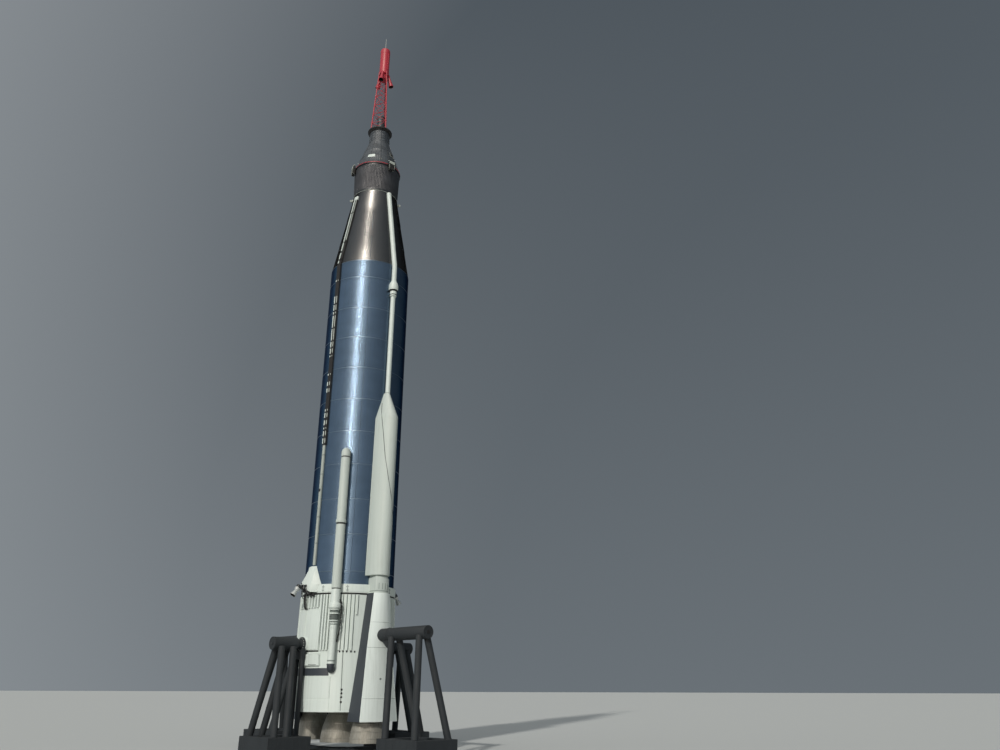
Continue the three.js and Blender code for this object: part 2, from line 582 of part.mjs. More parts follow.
// The web under the socket tube: [distance from the rocket's axis, drop below the tube's axis].
const HAUNCH = [[1900, 60], [2469, 60], [2469, 400], [2400, 385], [2300, 290], [2180, 190], [1900, 120]];
const LEG_R = 105;
const BASE = { height: 120, hubR: 480, half: 110 };
const PLINTH = { top: 540, wall: 130, over: 150 };
function legReach(stand) {
  return stand.spread + stand.splay * (stand.z - PLINTH.top) + PLINTH.over;
}
function standLegs(stand) {
  const drop = stand.z - PLINTH.top + 100;
  const parts = [];
  for (const x of stand.stations) {
    for (const side of [-1, 1]) {
      const foot = [x + stand.rake * drop, side * (stand.spread + stand.splay * drop), stand.z - drop];
      parts.push(bar(foot, [x, side * stand.spread, stand.z], LEG_R, 12));
    }
  }
  const reach = legReach(stand);
  const [x0, x1, w] = [stand.plinthStart, stand.plinthEnd, PLINTH.wall];
  const [z0, z1] = [BASE.height + GAP, PLINTH.top];
  const [inner, outer] = stand.stations.map((x) => x + stand.rake * (stand.z - PLINTH.top));
  for (const side of [-1, 1]) {
    const [near, far] = [side * reach, side * (reach - 2 * PLINTH.over)].sort((a, b) => a - b);
    parts.push(box(x0, x1, near, far, z0, z1));
  }
  for (const x of [x0 + w / 2, inner, outer, x1 - w / 2]) {
    parts.push(box(x - w / 2, x + w / 2, -reach, reach, z0, z1));
  }
  return parts;
}
const tubeSpace = ({ start, end, z, tube }) => bar([start - 10, 0, z], [end + 200, 0, z], tube + GAP, 24);
function sideStand() {
  const { z } = SIDE;
  const boss = bar([CORE_R, 0, z], [FLANGE.start - GAP, 0, z], FLANGE.bossR, 24).subtract(keepSkirt);
  const beam = union([
    bar([FLANGE.start, 0, z], [FLANGE.end, 0, z], FLANGE.radius, 24),
    bar([FLANGE.start + 10, 0, z], [SIDE.start + 10, 0, z], FLANGE.neckR, 24),
    bar([SIDE.start, 0, z], [SIDE.end, 0, z], SIDE.tube, 24),
  ]);
  const parts = standLegs(SIDE);
  for (const side of [-1, 1]) {
    const y = side * POST.y;
    parts.push(bar([POST.x, y, PLINTH.top - 100], [POST.x, y, POST.headLow + 100], POST.radius, 12));
  }
  const { headFrom, headTo, headHalf, headLow, headHigh } = POST;
  parts.push(box(headFrom, headTo, -headHalf, headHalf, headLow, headHigh));
  const flangeSpace = bar([headFrom - 40, 0, z], [headTo + 40, 0, z], FLANGE.radius + GAP, 24);
  return { boss, beam, legs: union(parts).subtract(tubeSpace(SIDE)).subtract(flangeSpace) };
}
function nacelleStand() {
  const { z } = FRONT;
  const haunch = new THREE.Shape(HAUNCH.map(([x, drop]) => new THREE.Vector2(x, z - drop)));
  const web = new THREE.ExtrudeGeometry(haunch, { depth: 2 * SOCKET.half, bevelEnabled: false });
  web.rotateX(Math.PI / 2).translate(0, SOCKET.half, 0);
  const tube = bar([SOCKET.from, 0, z], [FRONT.start - GAP, 0, z], FRONT.tube, 24);
  const boss = union([tube, solid(web)]).subtract(nacelleSpace);
  const beam = union([
    bar([FRONT.start, 0, z], [FRONT.end, 0, z], FRONT.tube, 24),
    bar([FRONT.start, 0, z], [FRONT.start + SOCKET.collar, 0, z], SOCKET.collarR, 24),
  ]);
  return { boss, beam, legs: union(standLegs(FRONT)).subtract(tubeSpace(FRONT)) };
}
// Each row: name, polar angle, its pieces.
const STANDS = [
  ['side_a', -90, sideStand()],
  ['side_b', 90, sideStand()],
  ['nacelle_a', 0, nacelleStand()],
  ['nacelle_b', 180, nacelleStand()],
];
for (const [name, polar, pieces] of STANDS) {
  add(`stand_boss_${name}`, spun(pieces.boss, polar), name.startsWith('side') ? WHITE : STAND);
  add(`stand_beam_${name}`, spun(pieces.beam, polar), STAND);
  add(`stand_legs_${name}`, spun(pieces.legs, polar), STAND);
}

// Tie frame on the ground: spokes from a hub to each stand, and rails under its plinth.
const basePieces = [disc(BASE.hubR, 0, BASE.height, 32)];
for (const [name, polar] of STANDS) {
  const stand = name.startsWith('side') ? SIDE : FRONT;
  const reach = legReach(stand);
  basePieces.push(spun(box(0, stand.plinthEnd, -BASE.half, BASE.half, 0, BASE.height), polar));
  for (const side of [-1, 1]) {
    const [near, far] = [side * reach, side * (reach - 2 * PLINTH.over)].sort((a, b) => a - b);
    basePieces.push(spun(box(stand.plinthStart, stand.plinthEnd, near, far, 0, BASE.height), polar));
  }
  for (const x of [stand.plinthStart, stand.plinthEnd - 2 * BASE.half]) {
    basePieces.push(spun(box(x, x + 2 * BASE.half, -reach, reach, 0, BASE.height), polar));
  }
}
add('base_frame', union(basePieces), STAND);

export default rocket;
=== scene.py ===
"""The looks of a space rocket on its four display stands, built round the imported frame.

Metres, +Z up, the origin on the ground on the rocket's axis. Polar angles run from +X towards +Y:
nacelle A lies at polar 0, vernier engine A at polar -90. A place's local X points away from the axis.
"""

import math

import bmesh
import bpy
from mathutils import Matrix, Vector


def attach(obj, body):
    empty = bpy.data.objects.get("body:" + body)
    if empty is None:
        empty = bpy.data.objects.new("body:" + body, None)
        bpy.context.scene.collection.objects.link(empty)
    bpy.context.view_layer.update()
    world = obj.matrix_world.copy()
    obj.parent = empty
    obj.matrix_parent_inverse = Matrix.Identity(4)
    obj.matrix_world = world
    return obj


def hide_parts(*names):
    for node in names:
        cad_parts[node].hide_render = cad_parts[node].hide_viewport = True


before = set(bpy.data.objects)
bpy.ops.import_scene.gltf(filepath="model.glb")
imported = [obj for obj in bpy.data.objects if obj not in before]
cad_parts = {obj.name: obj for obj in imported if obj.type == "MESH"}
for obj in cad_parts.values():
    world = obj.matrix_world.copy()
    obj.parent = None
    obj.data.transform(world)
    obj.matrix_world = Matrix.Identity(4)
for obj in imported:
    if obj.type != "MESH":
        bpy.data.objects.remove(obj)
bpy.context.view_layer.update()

FULL = 2 * math.pi
HERE = Matrix.Identity(4)
# Turns a part that was made upright so that its top points outwards.
OUTWARD = Matrix.Rotation(FULL / 4, 4, "Y")


def turned_to(polar, radius=0.0, z=0.0):
    """The place at a polar angle in degrees, a radius and a height."""
    return Matrix.Rotation(math.radians(polar), 4, "Z") @ Matrix.Translation((radius, 0, z))


def all_round(count, radius=0.0, z=0.0, first=0.0):
    """Evenly spaced places round the axis, from a first polar angle on."""
    return [turned_to(first + k * 360 / count, radius, z) for k in range(count)]


def moved(place, x=0.0, y=0.0, z=0.0):
    """The place shifted along its own axes."""
    return place @ Matrix.Translation((x, y, z))


def around(polar, half):
    """The polar limits of a strip about a line."""
    return polar - half, polar + half


# Camera: eye height, looking up at the rocket from the direction between vernier A and nacelle A.
CAMERA = {"lens": 29.21, "polar": -34.0, "distance": 29.42, "height": 1.92, "pitch": 21.14, "yaw": 10.21,
          "roll": 0.16}


def set_camera():
    data = bpy.data.cameras.new("camera")
    data.sensor_width = 36.0
    data.lens = CAMERA["lens"]
    data.clip_end = 500.0
    camera = bpy.data.objects.new("camera", data)
    bpy.context.scene.collection.objects.link(camera)
    camera.matrix_world = (
        Matrix.Rotation(math.radians(90 + CAMERA["polar"]), 4, "Z")
        @ Matrix.Translation((0, -CAMERA["distance"], CAMERA["height"]))
        @ Matrix.Rotation(math.radians(-CAMERA["yaw"]), 4, "Z")
        @ Matrix.Rotation(math.radians(90 + CAMERA["pitch"]), 4, "X")
        @ Matrix.Rotation(math.radians(CAMERA["roll"]), 4, "Z")
    )
    bpy.context.scene.camera = camera


set_camera()


# Finishes


def linear(hex_colour):
    """The linear colour of an sRGB hex value."""
    parts = [int(hex_colour[i : i + 2], 16) / 255 for i in (0, 2, 4)]
    return tuple(p / 12.92 if p <= 0.04045 else ((p + 0.055) / 1.055) ** 2.4 for p in parts) + (1.0,)


def add_node(tree, kind, inputs=None, **settings):
    """Adds a node with its settings; each input is a plain value or another node's output."""
    node = tree.nodes.new(kind)
    for name, value in settings.items():
        setattr(node, name, value)
    for key, value in (inputs or {}).items():
        if isinstance(value, bpy.types.NodeSocket):
            tree.links.new(value, node.inputs[key])
        else:
            node.inputs[key].default_value = value
    return node


def mottle(tree, place, size, detail=2.0):
    """Cloudy variation whose patches have the given size in metres along X, Y and Z."""
    scaled = add_node(tree, "ShaderNodeMapping", {"Vector": place, "Scale": [1 / s for s in size]})
    noise = add_node(tree, "ShaderNodeTexNoise", {"Vector": scaled.outputs[0], "Scale": 1.0, "Detail": detail})
    return noise.outputs["Fac"]


def spread(tree, value, low, high, start=0.3, end=0.7):
    """Maps the middle of a mottle's range to low..high."""
    inputs = {"Value": value, "From Min": start, "From Max": end, "To Min": low, "To Max": high}
    return add_node(tree, "ShaderNodeMapRange", inputs).outputs[0]


def blend(tree, share, first, second):
    """Mixes two colours, each linear or an output."""
    mix = add_node(tree, "ShaderNodeMix", {0: share, 6: first, 7: second}, data_type="RGBA")
    return mix.outputs[2]


def both(tree, first, second, operation="MULTIPLY"):
    """One sum of two values, each a number or another node's output."""
    return add_node(tree, "ShaderNodeMath", {0: first, 1: second}, operation=operation).outputs[0]


def finish(name, build):
    """A new material: build gets the tree and object coordinates and returns the shader's inputs."""
    made = bpy.data.materials.new(name)
    made.use_nodes = True
    tree = made.node_tree
    tree.nodes.clear()
    place = add_node(tree, "ShaderNodeTexCoord").outputs["Object"]
    shader = add_node(tree, "ShaderNodeBsdfPrincipled", build(tree, place))
    add_node(tree, "ShaderNodeOutputMaterial", {"Surface": shader.outputs[0]})
    return made


def bump(tree, height, distance, strength=1.0):
    inputs = {"Height": height, "Distance": distance, "Strength": strength}
    return add_node(tree, "ShaderNodeBump", inputs).outputs[0]


def sprayed_enamel(name, colour, stain, roughness, stained=0.6):
    """Enamel sprayed on sheet: rain streaks down it, dull patches and a slight orange peel."""

    def build(tree, place):
        streaks = mottle(tree, place, (0.07, 0.07, 1.6), 3.0)
        patches = mottle(tree, place, (0.55, 0.55, 0.8), 3.0)
        specks = mottle(tree, place, (0.025, 0.025, 0.03), 1.0)
        dirt = both(tree, spread(tree, streaks, 0.0, stained, 0.45, 0.75), spread(tree, patches, 0.2, 1.0))
        dirt = both(tree, dirt, spread(tree, specks, 0.0, 0.35, 0.66, 0.78), "ADD")
        # Real orange peel is about 2 mm across; it is drawn at 14 mm so that it shows.
        peel = mottle(tree, place, (0.014, 0.014, 0.014), 1.0)
        return {
            "Base Color": blend(tree, dirt, linear(colour), linear(stain)),
            "Roughness": spread(tree, patches, roughness - 0.05, roughness + 0.09),
            "Normal": bump(tree, peel, 0.0008, 0.6),
        }

    return finish(name, build)


def rolled_steel(name, colour, shade, roughness, course=0.0, streak=0.05, edge="9aa6b2", uneven=1.0):
    """Cold-rolled sheet, polished: faint upright rolling streaks, one tone per hoop, soft oil-canning."""

    def build(tree, place):
        streaks = mottle(tree, place, (streak, streak, 3.0), 4.0)
        clouds = mottle(tree, place, (0.5, 0.5, 0.35), 2.0)
        streaked, clouded = spread(tree, streaks, 0.0, 0.5 * uneven), spread(tree, clouds, 0.0, 0.35 * uneven)
        tone = both(tree, streaked, clouded, "ADD")
        if course:
            # The tone changes at the weld beads, the lowest of which lies 4.57 courses above the ground.
            height = add_node(tree, "ShaderNodeSeparateXYZ", {0: place}).outputs["Z"]
            hoop = both(tree, both(tree, height, course, "DIVIDE"), 0.57, "SUBTRACT")
            hoop = both(tree, hoop, 0.0, "FLOOR")
            pick = add_node(tree, "ShaderNodeTexWhiteNoise", {"W": hoop}, noise_dimensions="1D").outputs["Value"]
            tone = both(tree, tone, spread(tree, pick, -0.12, 0.12, 0.0, 1.0), "ADD")
        dents = mottle(tree, place, (0.45, 0.45, 0.7), 1.0)
        return {
            "Base Color": blend(tree, tone, linear(colour), linear(shade)),
            "Metallic": 1.0,
            "Specular Tint": linear(edge),
            "Roughness": spread(tree, streaks, roughness - 0.03, roughness + 0.04),
            "Anisotropic": 0.86,
            "Tangent": add_node(tree, "ShaderNodeTangent", direction_type="RADIAL", axis="Z").outputs[0],
            "Normal": bump(tree, dents, 0.0008, 0.5),
        }

    return finish(name, build)


def bare_metal(name, colour, shade, roughness, grain=(0.02, 0.02, 0.2), metallic=1.0):
    """Bare metal left as worked: scratches and heat tints along its grain."""

    def build(tree, place):
        scratches = mottle(tree, place, grain, 4.0)
        tints = mottle(tree, place, (0.3, 0.3, 0.3), 2.0)
        tone = both(tree, spread(tree, scratches, 0.0, 0.5), spread(tree, tints, 0.0, 0.5), "ADD")
        return {
            "Base Color": blend(tree, tone, linear(colour), linear(shade)),
            "Metallic": metallic,
            "Roughness": spread(tree, scratches, roughness - 0.06, roughness + 0.1),
            "Normal": bump(tree, scratches, 0.0006, 0.5),
        }

    return finish(name, build)


# Cold-rolled stainless sheet, polished: a mirror drawn out upright, so that light makes one tall thin line. Its blue,
# also at grazing angles, is a painted reflection of a blue sky.
TANK = rolled_steel("polished_stainless_tank", "617488", "506172", 0.22, course=1.21, edge="566879")
# The same sheet left dull and a little heat-tinted: warmer, softer and darker than the barrel.
NOSE = rolled_steel("dull_stainless_nose", "5a5c5d", "48494b", 0.22, streak=0.04, edge="434a50", uneven=0.4)
# Weld ground flush: a fine pale line that catches light where the sheet is dark.
WELD = bare_metal("ground_weld", "75838f", "61707c", 0.36)
# Lapped edge of a sheet: a thin dark upright line.
LAP = bare_metal("lap_seam_shadow", "3a434c", "2c343c", 0.42)
# Titanium gone dull from handling and weather: even dark grey with hardly a highlight.
ADAPTER = bare_metal("weathered_titanium_skin", "4a4c50", "34363a", 0.5, (0.03, 0.03, 0.5), 0.7)
# Nickel alloy shingles, heat-oxidised: nearly black with a soft bluish sheen, blotched per sheet.
SHINGLE = bare_metal("oxidised_nickel_shingle", "565c61", "34393e", 0.5, (0.05, 0.05, 0.12), 0.5)
# White enamel sprayed over primer: greenish off-white, rain-streaked, with a dull soft shine.
WHITE = sprayed_enamel("offwhite_enamel", "cdd4cc", "a2a89e", 0.42, 0.35)
# Charcoal enamel on the bands: reads as a flat dark panel beside the white.
DARK = sprayed_enamel("charcoal_enamel", "363b41", "262a2e", 0.46, 0.5)
# Brushed-on sealant and aged grey paint: the thin grey of joints and covers; also the painted shadow beside the skirt's
# stringers.
SEALANT_AND_SHADE = sprayed_enamel("grey_sealant_and_painted_shade", "7d8580", "5d645f", 0.6)
# Signal red enamel: a strong red that turns to maroon in shade, slightly glossy.
RED = sprayed_enamel("signal_red_enamel", "a92334", "651320", 0.45, 0.4)
# Matt black enamel: gaps, rims and the raceway's ground colour; also painted shade in the skirt's recess, the
# stringers' open ends, the joint under the skirt's ring and under the conduit housing's lip.
BLACK = sprayed_enamel("matt_black_enamel_and_painted_shade", "0f1012", "090a0b", 0.7)
# Sun-bleached grey-green primer: the dusty covers on the clamp and the raceway.
PALE = sprayed_enamel("bleached_primer", "a3a89f", "7b8078", 0.55)
# Slate enamel, thick over tube: dark blue-grey with a soft line of light along each tube.
STAND = sprayed_enamel("stand_slate_enamel", "1f2529", "15191c", 0.75, 0.5)
# Mill-finish aluminium gone dull: pale grey fittings.
SILVER = bare_metal("dull_aluminium", "a0a4a3", "767a79", 0.55, metallic=0.4)
# Forged steel, oiled: dark grey joints, bolts and yokes.
DARK_METAL = bare_metal("dark_forged_steel", "54575a", "35383a", 0.42)
# Nickel tubes brazed side by side: warm light grey with fine upright ribs and brown heat tints.
BELL = bare_metal("brazed_nickel_tubes", "a3a096", "7b776d", 0.46, (0.03, 0.03, 0.35), 0.3)
# Vernier chamber, bead-blasted and bright: silver-white against the skirt.
BRIGHT = bare_metal("blasted_nickel_chamber", "d2d4d0", "a4a8a6", 0.4, (0.02, 0.02, 0.1), 0.35)
# Near black inside the bells, nozzles, skirt, nacelles, fairings, clamp covers, windows and ports: painted shade, so
# that no light comes back out of a bell or a hood.
HOLLOW = sprayed_enamel("painted_shade_inside", "121314", "080808", 0.8)
# Galvanised cable: a fine grey line across the pods.
STRAP = bare_metal("galvanised_cable", "565b5c", "3f4445", 0.5)
# A second, lighter coat hides the first one's dust: the nacelles stay the whitest part.
NACELLE_WHITE = sprayed_enamel("twice_sprayed_white_enamel", "e1e7e0", "b0b6ab", 0.42, 0.35)
# Enamel chalked by the sun: duller and greyer than the skirt's, with no gloss left on the pods.
CHALKED = sprayed_enamel("sun_chalked_enamel", "b9c0b8", "979d93", 0.55, 0.35)
# Moulded rubber: mid grey and matt, so that the folds between the pipe's flanges read as bands.
RUBBER = sprayed_enamel("moulded_rubber", "6b726e", "4e5451", 0.62)


# Making a piece

# How far the rims of a sheet on a wall sink into the wall.
PAD_SINK = 0.006


class Piece:
    """A piece in the making: its points, its faces and the number of the finish that each face takes."""

    def __init__(self, *finishes):
        self.finishes = finishes
        self.points = []
        self.faces = []
        self.marks = []

    def face(self, corners, mark):
        self.faces.append(corners)
        self.marks.append(mark)

    def skin(self, rows, place=HERE, mark=0, marks=None, looped=False):
        """Joins closed rows of equally many points; flat caps close the ends, or the last row meets the first."""
        start, count = len(self.points), len(rows[0])
        marks = marks or [mark] * len(rows)
        for row in rows:
            self.points.extend(place @ Vector(point) for point in row)
        for r in range(len(rows) if looped else len(rows) - 1):
            low = start + r * count
            high = start + (r + 1) % len(rows) * count
            for i in range(count):
                k = (i + 1) % count
                self.face((low + i, low + k, high + k, high + i), marks[r])
        if not looped:
            last = start + (len(rows) - 1) * count
            self.face(tuple(range(start + count - 1, start - 1, -1)), marks[0])
            self.face(tuple(range(last, last + count)), marks[-1])

    def turned(self, profile, place=HERE, segments=48, wave=None, **how):
        """Turns a profile of (radius, height) about the place's Z; wave adds to the radius by angle and row."""
        turns = [FULL * k / segments for k in range(segments)]
        rows = []
        for i, (radius, z) in enumerate(profile):
            reaches = [radius + (wave(a, i) if wave else 0) for a in turns]
            rows.append([(r * math.cos(a), r * math.sin(a), z) for r, a in zip(reaches, turns)])
        self.skin(rows, place, **how)

    def ring(self, low, high, inner, outer, place=HERE, segments=48, rim=0.004, **how):
        """A raised ring between two heights, its outer edges broken."""
        profile = [(inner, low), (outer, low + rim), (outer, high - rim), (inner, high)]
        self.turned(profile, place, segments, **how)

    def bar(self, start, end, radius, end_radius=None, sides=24, place=HERE, **how):
        """A round bar between two points, its rims broken."""
        start, end = place @ Vector(start), place @ Vector(end)
        far = radius if end_radius is None else end_radius
        rim = 0.12 * min(radius, far, 0.08)
        length = (end - start).length
        lie = Matrix.Translation(start) @ (end - start).to_track_quat("Z", "Y").to_matrix().to_4x4()
        self.turned([(radius - rim, 0), (radius, rim), (far, length - rim), (far - rim, length)], lie, sides, **how)

    def block(self, low, high, place=HERE, rim=0.006, **how):
        """A squared block with broken edges."""
        (x0, y0, z0), (x1, y1, z1) = low, high

        def outline(inset, z):
            a, b, c, d = x0 + inset, x1 - inset, y0 + inset, y1 - inset
            corners = [(a + rim, c), (b - rim, c), (b, c + rim), (b, d - rim)]
            corners += [(b - rim, d), (a + rim, d), (a, d - rim), (a, c + rim)]
            return [(x, y, z) for x, y in corners]

        rows = [outline(rim, z0), outline(0, z0 + rim), outline(0, z1 - rim), outline(rim, z1)]
        self.skin(rows, place, **how)

    def pipe(self, route, radius, sides=10, place=HERE, **how):
        """A round pipe along a route of points."""
        points = [place @ Vector(p) for p in route]
        side = Vector((0.3, 0.5, 0.8))
        rows = []
        for i, point in enumerate(points):
            along = (points[min(i + 1, len(points) - 1)] - points[max(i - 1, 0)]).normalized()
            side = (side - side.dot(along) * along).normalized()
            across = along.cross(side)
            angles = [FULL * k / sides for k in range(sides)]
            rows.append([point + radius * (math.cos(a) * side + math.sin(a) * across) for a in angles])
        self.skin(rows, **how)

    def pad(self, wall, foot, heights, lift, top=None, side=0.012, end=0.012, mark=0, foot_mark=None):
        """A sheet with sloped rims on a round wall, between polar limits at its foot and, if others, its top."""
        (a0, a1), (b0, b1) = foot, top or foot
        z0, z1 = heights
        width = math.radians(abs(a1 - a0)) * wall(z0)
        across = max(1, round(abs(a1 - a0) / 2.5))
        us = [0, *(side / width + (1 - 2 * side / width) * k / across for k in range(across + 1)), 1]
        rise = end / (z1 - z0)
        start, n = len(self.points), len(us)
        for j, v in enumerate((0, rise, 1 - rise, 1)):
            z = z0 + (z1 - z0) * v
            first, second = a0 + (b0 - a0) * v, a1 + (b1 - a1) * v
            for i, u in enumerate(us):
                angle = math.radians(first + (second - first) * u)
                r = wall(z) + (-PAD_SINK if i in (0, n - 1) or j in (0, 3) else lift)
                self.points.append(Vector((r * math.cos(angle), r * math.sin(angle), z)))
        for j in range(3):
            for i in range(n - 1):
                a = start + j * n + i
                self.face((a, a + 1, a + 1 + n, a + n), foot_mark if j == 0 and foot_mark is not None else mark)
        loop = [start + i for i in range(n)] + [start + j * n + n - 1 for j in (1, 2, 3)]
        loop += [start + 3 * n + i for i in range(n - 2, -1, -1)] + [start + n * j for j in (2, 1)]
        self.face(tuple(reversed(loop)), mark)

    def heads(self, places, radius, height, sides=6, **how):
        """Bolt or rivet heads; a place's X points out of the surface."""
        for place in places:
            profile = [(radius, -0.004), (radius, 0.6 * height), (0.6 * radius, height)]
            self.turned(profile, place @ OUTWARD, sides, **how)

    def cut_from(self, node, choose=None):
        """Takes over a CAD node's own shape; choose(normal, centre) gives the finish of a face."""
        stock = bmesh.new()
        stock.from_mesh(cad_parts[node].data)
        bmesh.ops.remove_doubles(stock, verts=stock.verts[:], dist=0.0002)
        bmesh.ops.dissolve_limit(stock, angle_limit=0.01, verts=stock.verts[:], edges=stock.edges[:])
        start = len(self.points)
        stock.verts.index_update()
        self.points.extend(v.co.copy() for v in stock.verts)
        for face in stock.faces:
            face.normal_update()
            mark = choose(face.normal, face.calc_center_median()) if choose else 0
            self.face(tuple(start + v.index for v in face.verts), mark)
        stock.free()

    def make(self, name, nodes=(), body="airframe", crease=33, bevel=0.0):
        """Puts the piece in the scene: edges sharper than the crease angle stay sharp, or get a narrow bevel."""
        mesh = bpy.data.meshes.new(name)
        mesh.from_pydata(self.points, [], self.faces)
        for material in self.finishes:
            mesh.materials.append(material)
        mesh.polygons.foreach_set("material_index", self.marks)
        worked = bmesh.new()
        worked.from_mesh(mesh)
        bmesh.ops.recalc_face_normals(worked, faces=worked.faces[:])
        worked.to_mesh(mesh)
        worked.free()
        mesh.shade_smooth()
        mesh.set_sharp_from_angle(angle=math.radians(crease))
        piece = bpy.data.objects.new(name, mesh)
        bpy.context.scene.collection.objects.link(piece)
        if bevel:
            broken = piece.modifiers.new("broken_edges", "BEVEL")
            broken.width = bevel
            broken.segments = 1
            broken.limit_method = "ANGLE"
            broken.angle_limit = math.radians(40)
        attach(piece, body)
        if nodes:
            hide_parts(*nodes)


# Tank and nose cone

TANK_R = 1.524
NOSE_TOP_R = 0.89
SHOULDER_Z = 17.245
NOSE_TOP_Z = 20.85
TANK_WELDS = [5.55, 6.78, 7.98, 9.21, 10.41, 11.62, 12.83, 14.03, 15.24, 16.53]
NOSE_WELDS = [18.44, 19.65]
# Half the width of a weld bead, and how far it stands out.
WELD_HALF = 0.009
WELD_RISE = 0.0015


def tank_wall(z):
    return TANK_R


def nose_wall(z):
    return TANK_R - (z - SHOULDER_Z) * (TANK_R - NOSE_TOP_R) / (NOSE_TOP_Z - SHOULDER_Z)


def hooped(wall, welds, start, end, rise=WELD_RISE):
    """A profile up a wall with a raised weld bead at each height, and its marks."""
    profile, marks = [(wall(start), start)], []
    for z in welds:
        for shift, proud in ((-3, 0), (-2, 0), (-1, rise), (1, rise), (2, 0), (3, 0)):
            profile.append((wall(z) + proud, z + shift * WELD_HALF))
        marks += [0, 0, 0, 1, 0, 0]
    profile.append((wall(end), end))
    return profile, [*marks, 0]


# How an upright lap of the tank's sheets stands out from its wall.
LAP_RIDGE = {"lift": 0.0022, "side": 0.002, "end": 0.004, "mark": 2}


def sheet_laps(piece, wall, polars, joints, half_angle):
    """Upright laps from joint to joint, each a little short of both."""
    for polar in polars:
        for low, high in zip(joints, joints[1:]):
            piece.pad(wall, around(polar, half_angle), (low + 0.02, high - 0.02), **LAP_RIDGE)


def make_tank():
    barrel = Piece(TANK, WELD, LAP)
    profile, marks = hooped(tank_wall, TANK_WELDS, 4.91, SHOULDER_Z - 0.001)
    barrel.turned([(0.52, 4.15), *profile], segments=160, marks=[0, *marks])
    sheet_laps(barrel, tank_wall, (-34.0, 86.0, 206.0), [5.13, *TANK_WELDS, SHOULDER_Z], 0.22)
    barrel.make("tank_hoops", ["tank_barrel"])

    nose = Piece(NOSE, WELD, LAP, PALE)
    profile, marks = hooped(nose_wall, NOSE_WELDS, SHOULDER_Z, NOSE_TOP_Z - 0.002, 0.0)
    nose.turned(profile, segments=160, marks=[0] * len(marks))
    nose.turned([(1.515, 17.247), (1.5245, 17.249), (1.5225, 17.262), (1.513, 17.264)], segments=160, mark=1)
    sheet_laps(nose, nose_wall, (-36.0, 84.0, 204.0), [SHOULDER_Z + 0.05, *NOSE_WELDS, NOSE_TOP_Z], 0.4)
    lip = NOSE_TOP_R + 0.001
    nose.turned([(lip, NOSE_TOP_Z - 0.018), (lip + 0.01, NOSE_TOP_Z - 0.015), (lip + 0.01, NOSE_TOP_Z - 0.005),
                 (lip - 0.01, NOSE_TOP_Z - 0.002)], segments=120, mark=3)
    # Lifting lugs on both sides, each an ear with an eye.
    for polar in (-121.0, 53.0):
        ear = turned_to(polar, nose_wall(20.72), 20.72)
        nose.block((-0.02, -0.045, -0.05), (0.06, 0.045, 0.05), ear, mark=3)
        eye = moved(ear, 0.085) @ Matrix.Rotation(FULL / 4, 4, "X")
        nose.turned([(0.02, -0.014), (0.045, -0.014), (0.045, 0.014), (0.02, 0.014)], eye, 20, looped=True, mark=3)
    nose.make("nose_cone_hoops", ["tank_nose_cone"])


# Adapter, clamp and capsule

CLAMP_Z = 22.18
CAPSULE_R = 0.95
NECK_R = 0.43
NECK_Z = 23.65
CAPSULE_TOP_Z = 24.18


def adapter_wall(z):
    return 0.89 + (z - NOSE_TOP_Z) * 0.04 / 1.26


def make_adapter():
    skin = Piece(ADAPTER, DARK_METAL)
    band = 0.008
    heights = [20.85, 20.87, 20.93, 20.96, 22.0, 22.04, 22.08, 22.109]
    profile = [(adapter_wall(z) + (band if i in (1, 2, 5, 6) else 0), z) for i, z in enumerate(heights)]

    # Corrugations are 60 mm apart round the adapter and 14 mm deep, between its two flat bands.
    def corrugation(angle, i):
        return 0.007 * math.cos(96 * angle) if i in (3, 4) else 0.0

    skin.turned(profile, segments=480, wave=corrugation, marks=[1, 1, 0, 0, 0, 1, 1])
    # Straps cross the corrugations from band to band.
    for k in range(12):
        for lean in (-30, 30):
            skin.pad(adapter_wall, around(k * 30, 0.7), (20.97, 21.99), 0.009, around(k * 30 + lean, 0.7),
                     side=0.006, end=0.01, mark=1)
    for z in (20.9, 22.06):
        skin.heads(all_round(48, adapter_wall(z) + band, z), 0.008, 0.004, mark=1)
    skin.make("adapter_corrugated", ["capsule_adapter"])


def make_clamp():
    band = Piece(RED, PALE, HOLLOW, DARK_METAL)
    r = 0.965
    band.turned([(0.92, 22.111), (r - 0.006, 22.111), (r, 22.117), (r, 22.14), (r - 0.008, 22.146),
                 (r - 0.008, 22.155), (r, 22.16), (r, 22.174), (r - 0.006, 22.179), (0.92, 22.179)],
                segments=120, marks=[3] * 4 + [0] * 5)
    band.heads(all_round(24, r - 0.002, 22.145, 5), 0.012, 0.012, mark=3)
    hood = [(0.957, 0.149), (1.0, 0.149), (1.058, 0.11), (1.074, 0.07), (1.074, -0.02), (1.06, -0.02), (1.058, 0.06),
            (1.045, 0.095), (0.99, 0.13), (0.957, 0.13)]
    cheek = [(0.957, 0.14), (1.0, 0.14), (1.052, 0.1), (1.066, 0.06), (1.066, -0.02), (0.957, -0.02)]
    for polar in (-112, -1, 121):
        place = turned_to(polar, 0, CLAMP_Z)
        # The cover is a pale roof over a dark open box, with a hoop down each edge; the near-black box is painted shade
        # inside the open cover.
        band.skin([[(x, y, z) for x, z in hood] for y in (-0.129, 0.129)], place, mark=1)
        for side in (-1, 1):
            band.skin([[(x, y, z) for x, z in cheek] for y in sorted((side * 0.112, side * 0.127))], place, mark=3)
            hoop = [(1.066, side * 0.124, -0.01), (1.066, side * 0.122, -0.22), (1.02, side * 0.11, -0.29),
                    (0.965, side * 0.1, -0.297)]
            band.pipe(hoop, 0.005, place=place, mark=1)
        band.block((0.957, -0.118, -0.28), (1.06, 0.118, 0.05), place, mark=2)
        band.bar((1.06, -0.09, -0.12), (1.06, 0.09, -0.12), 0.01, place=place, mark=3)
    band.make("clamp_with_covers", ["clamp_ring"])


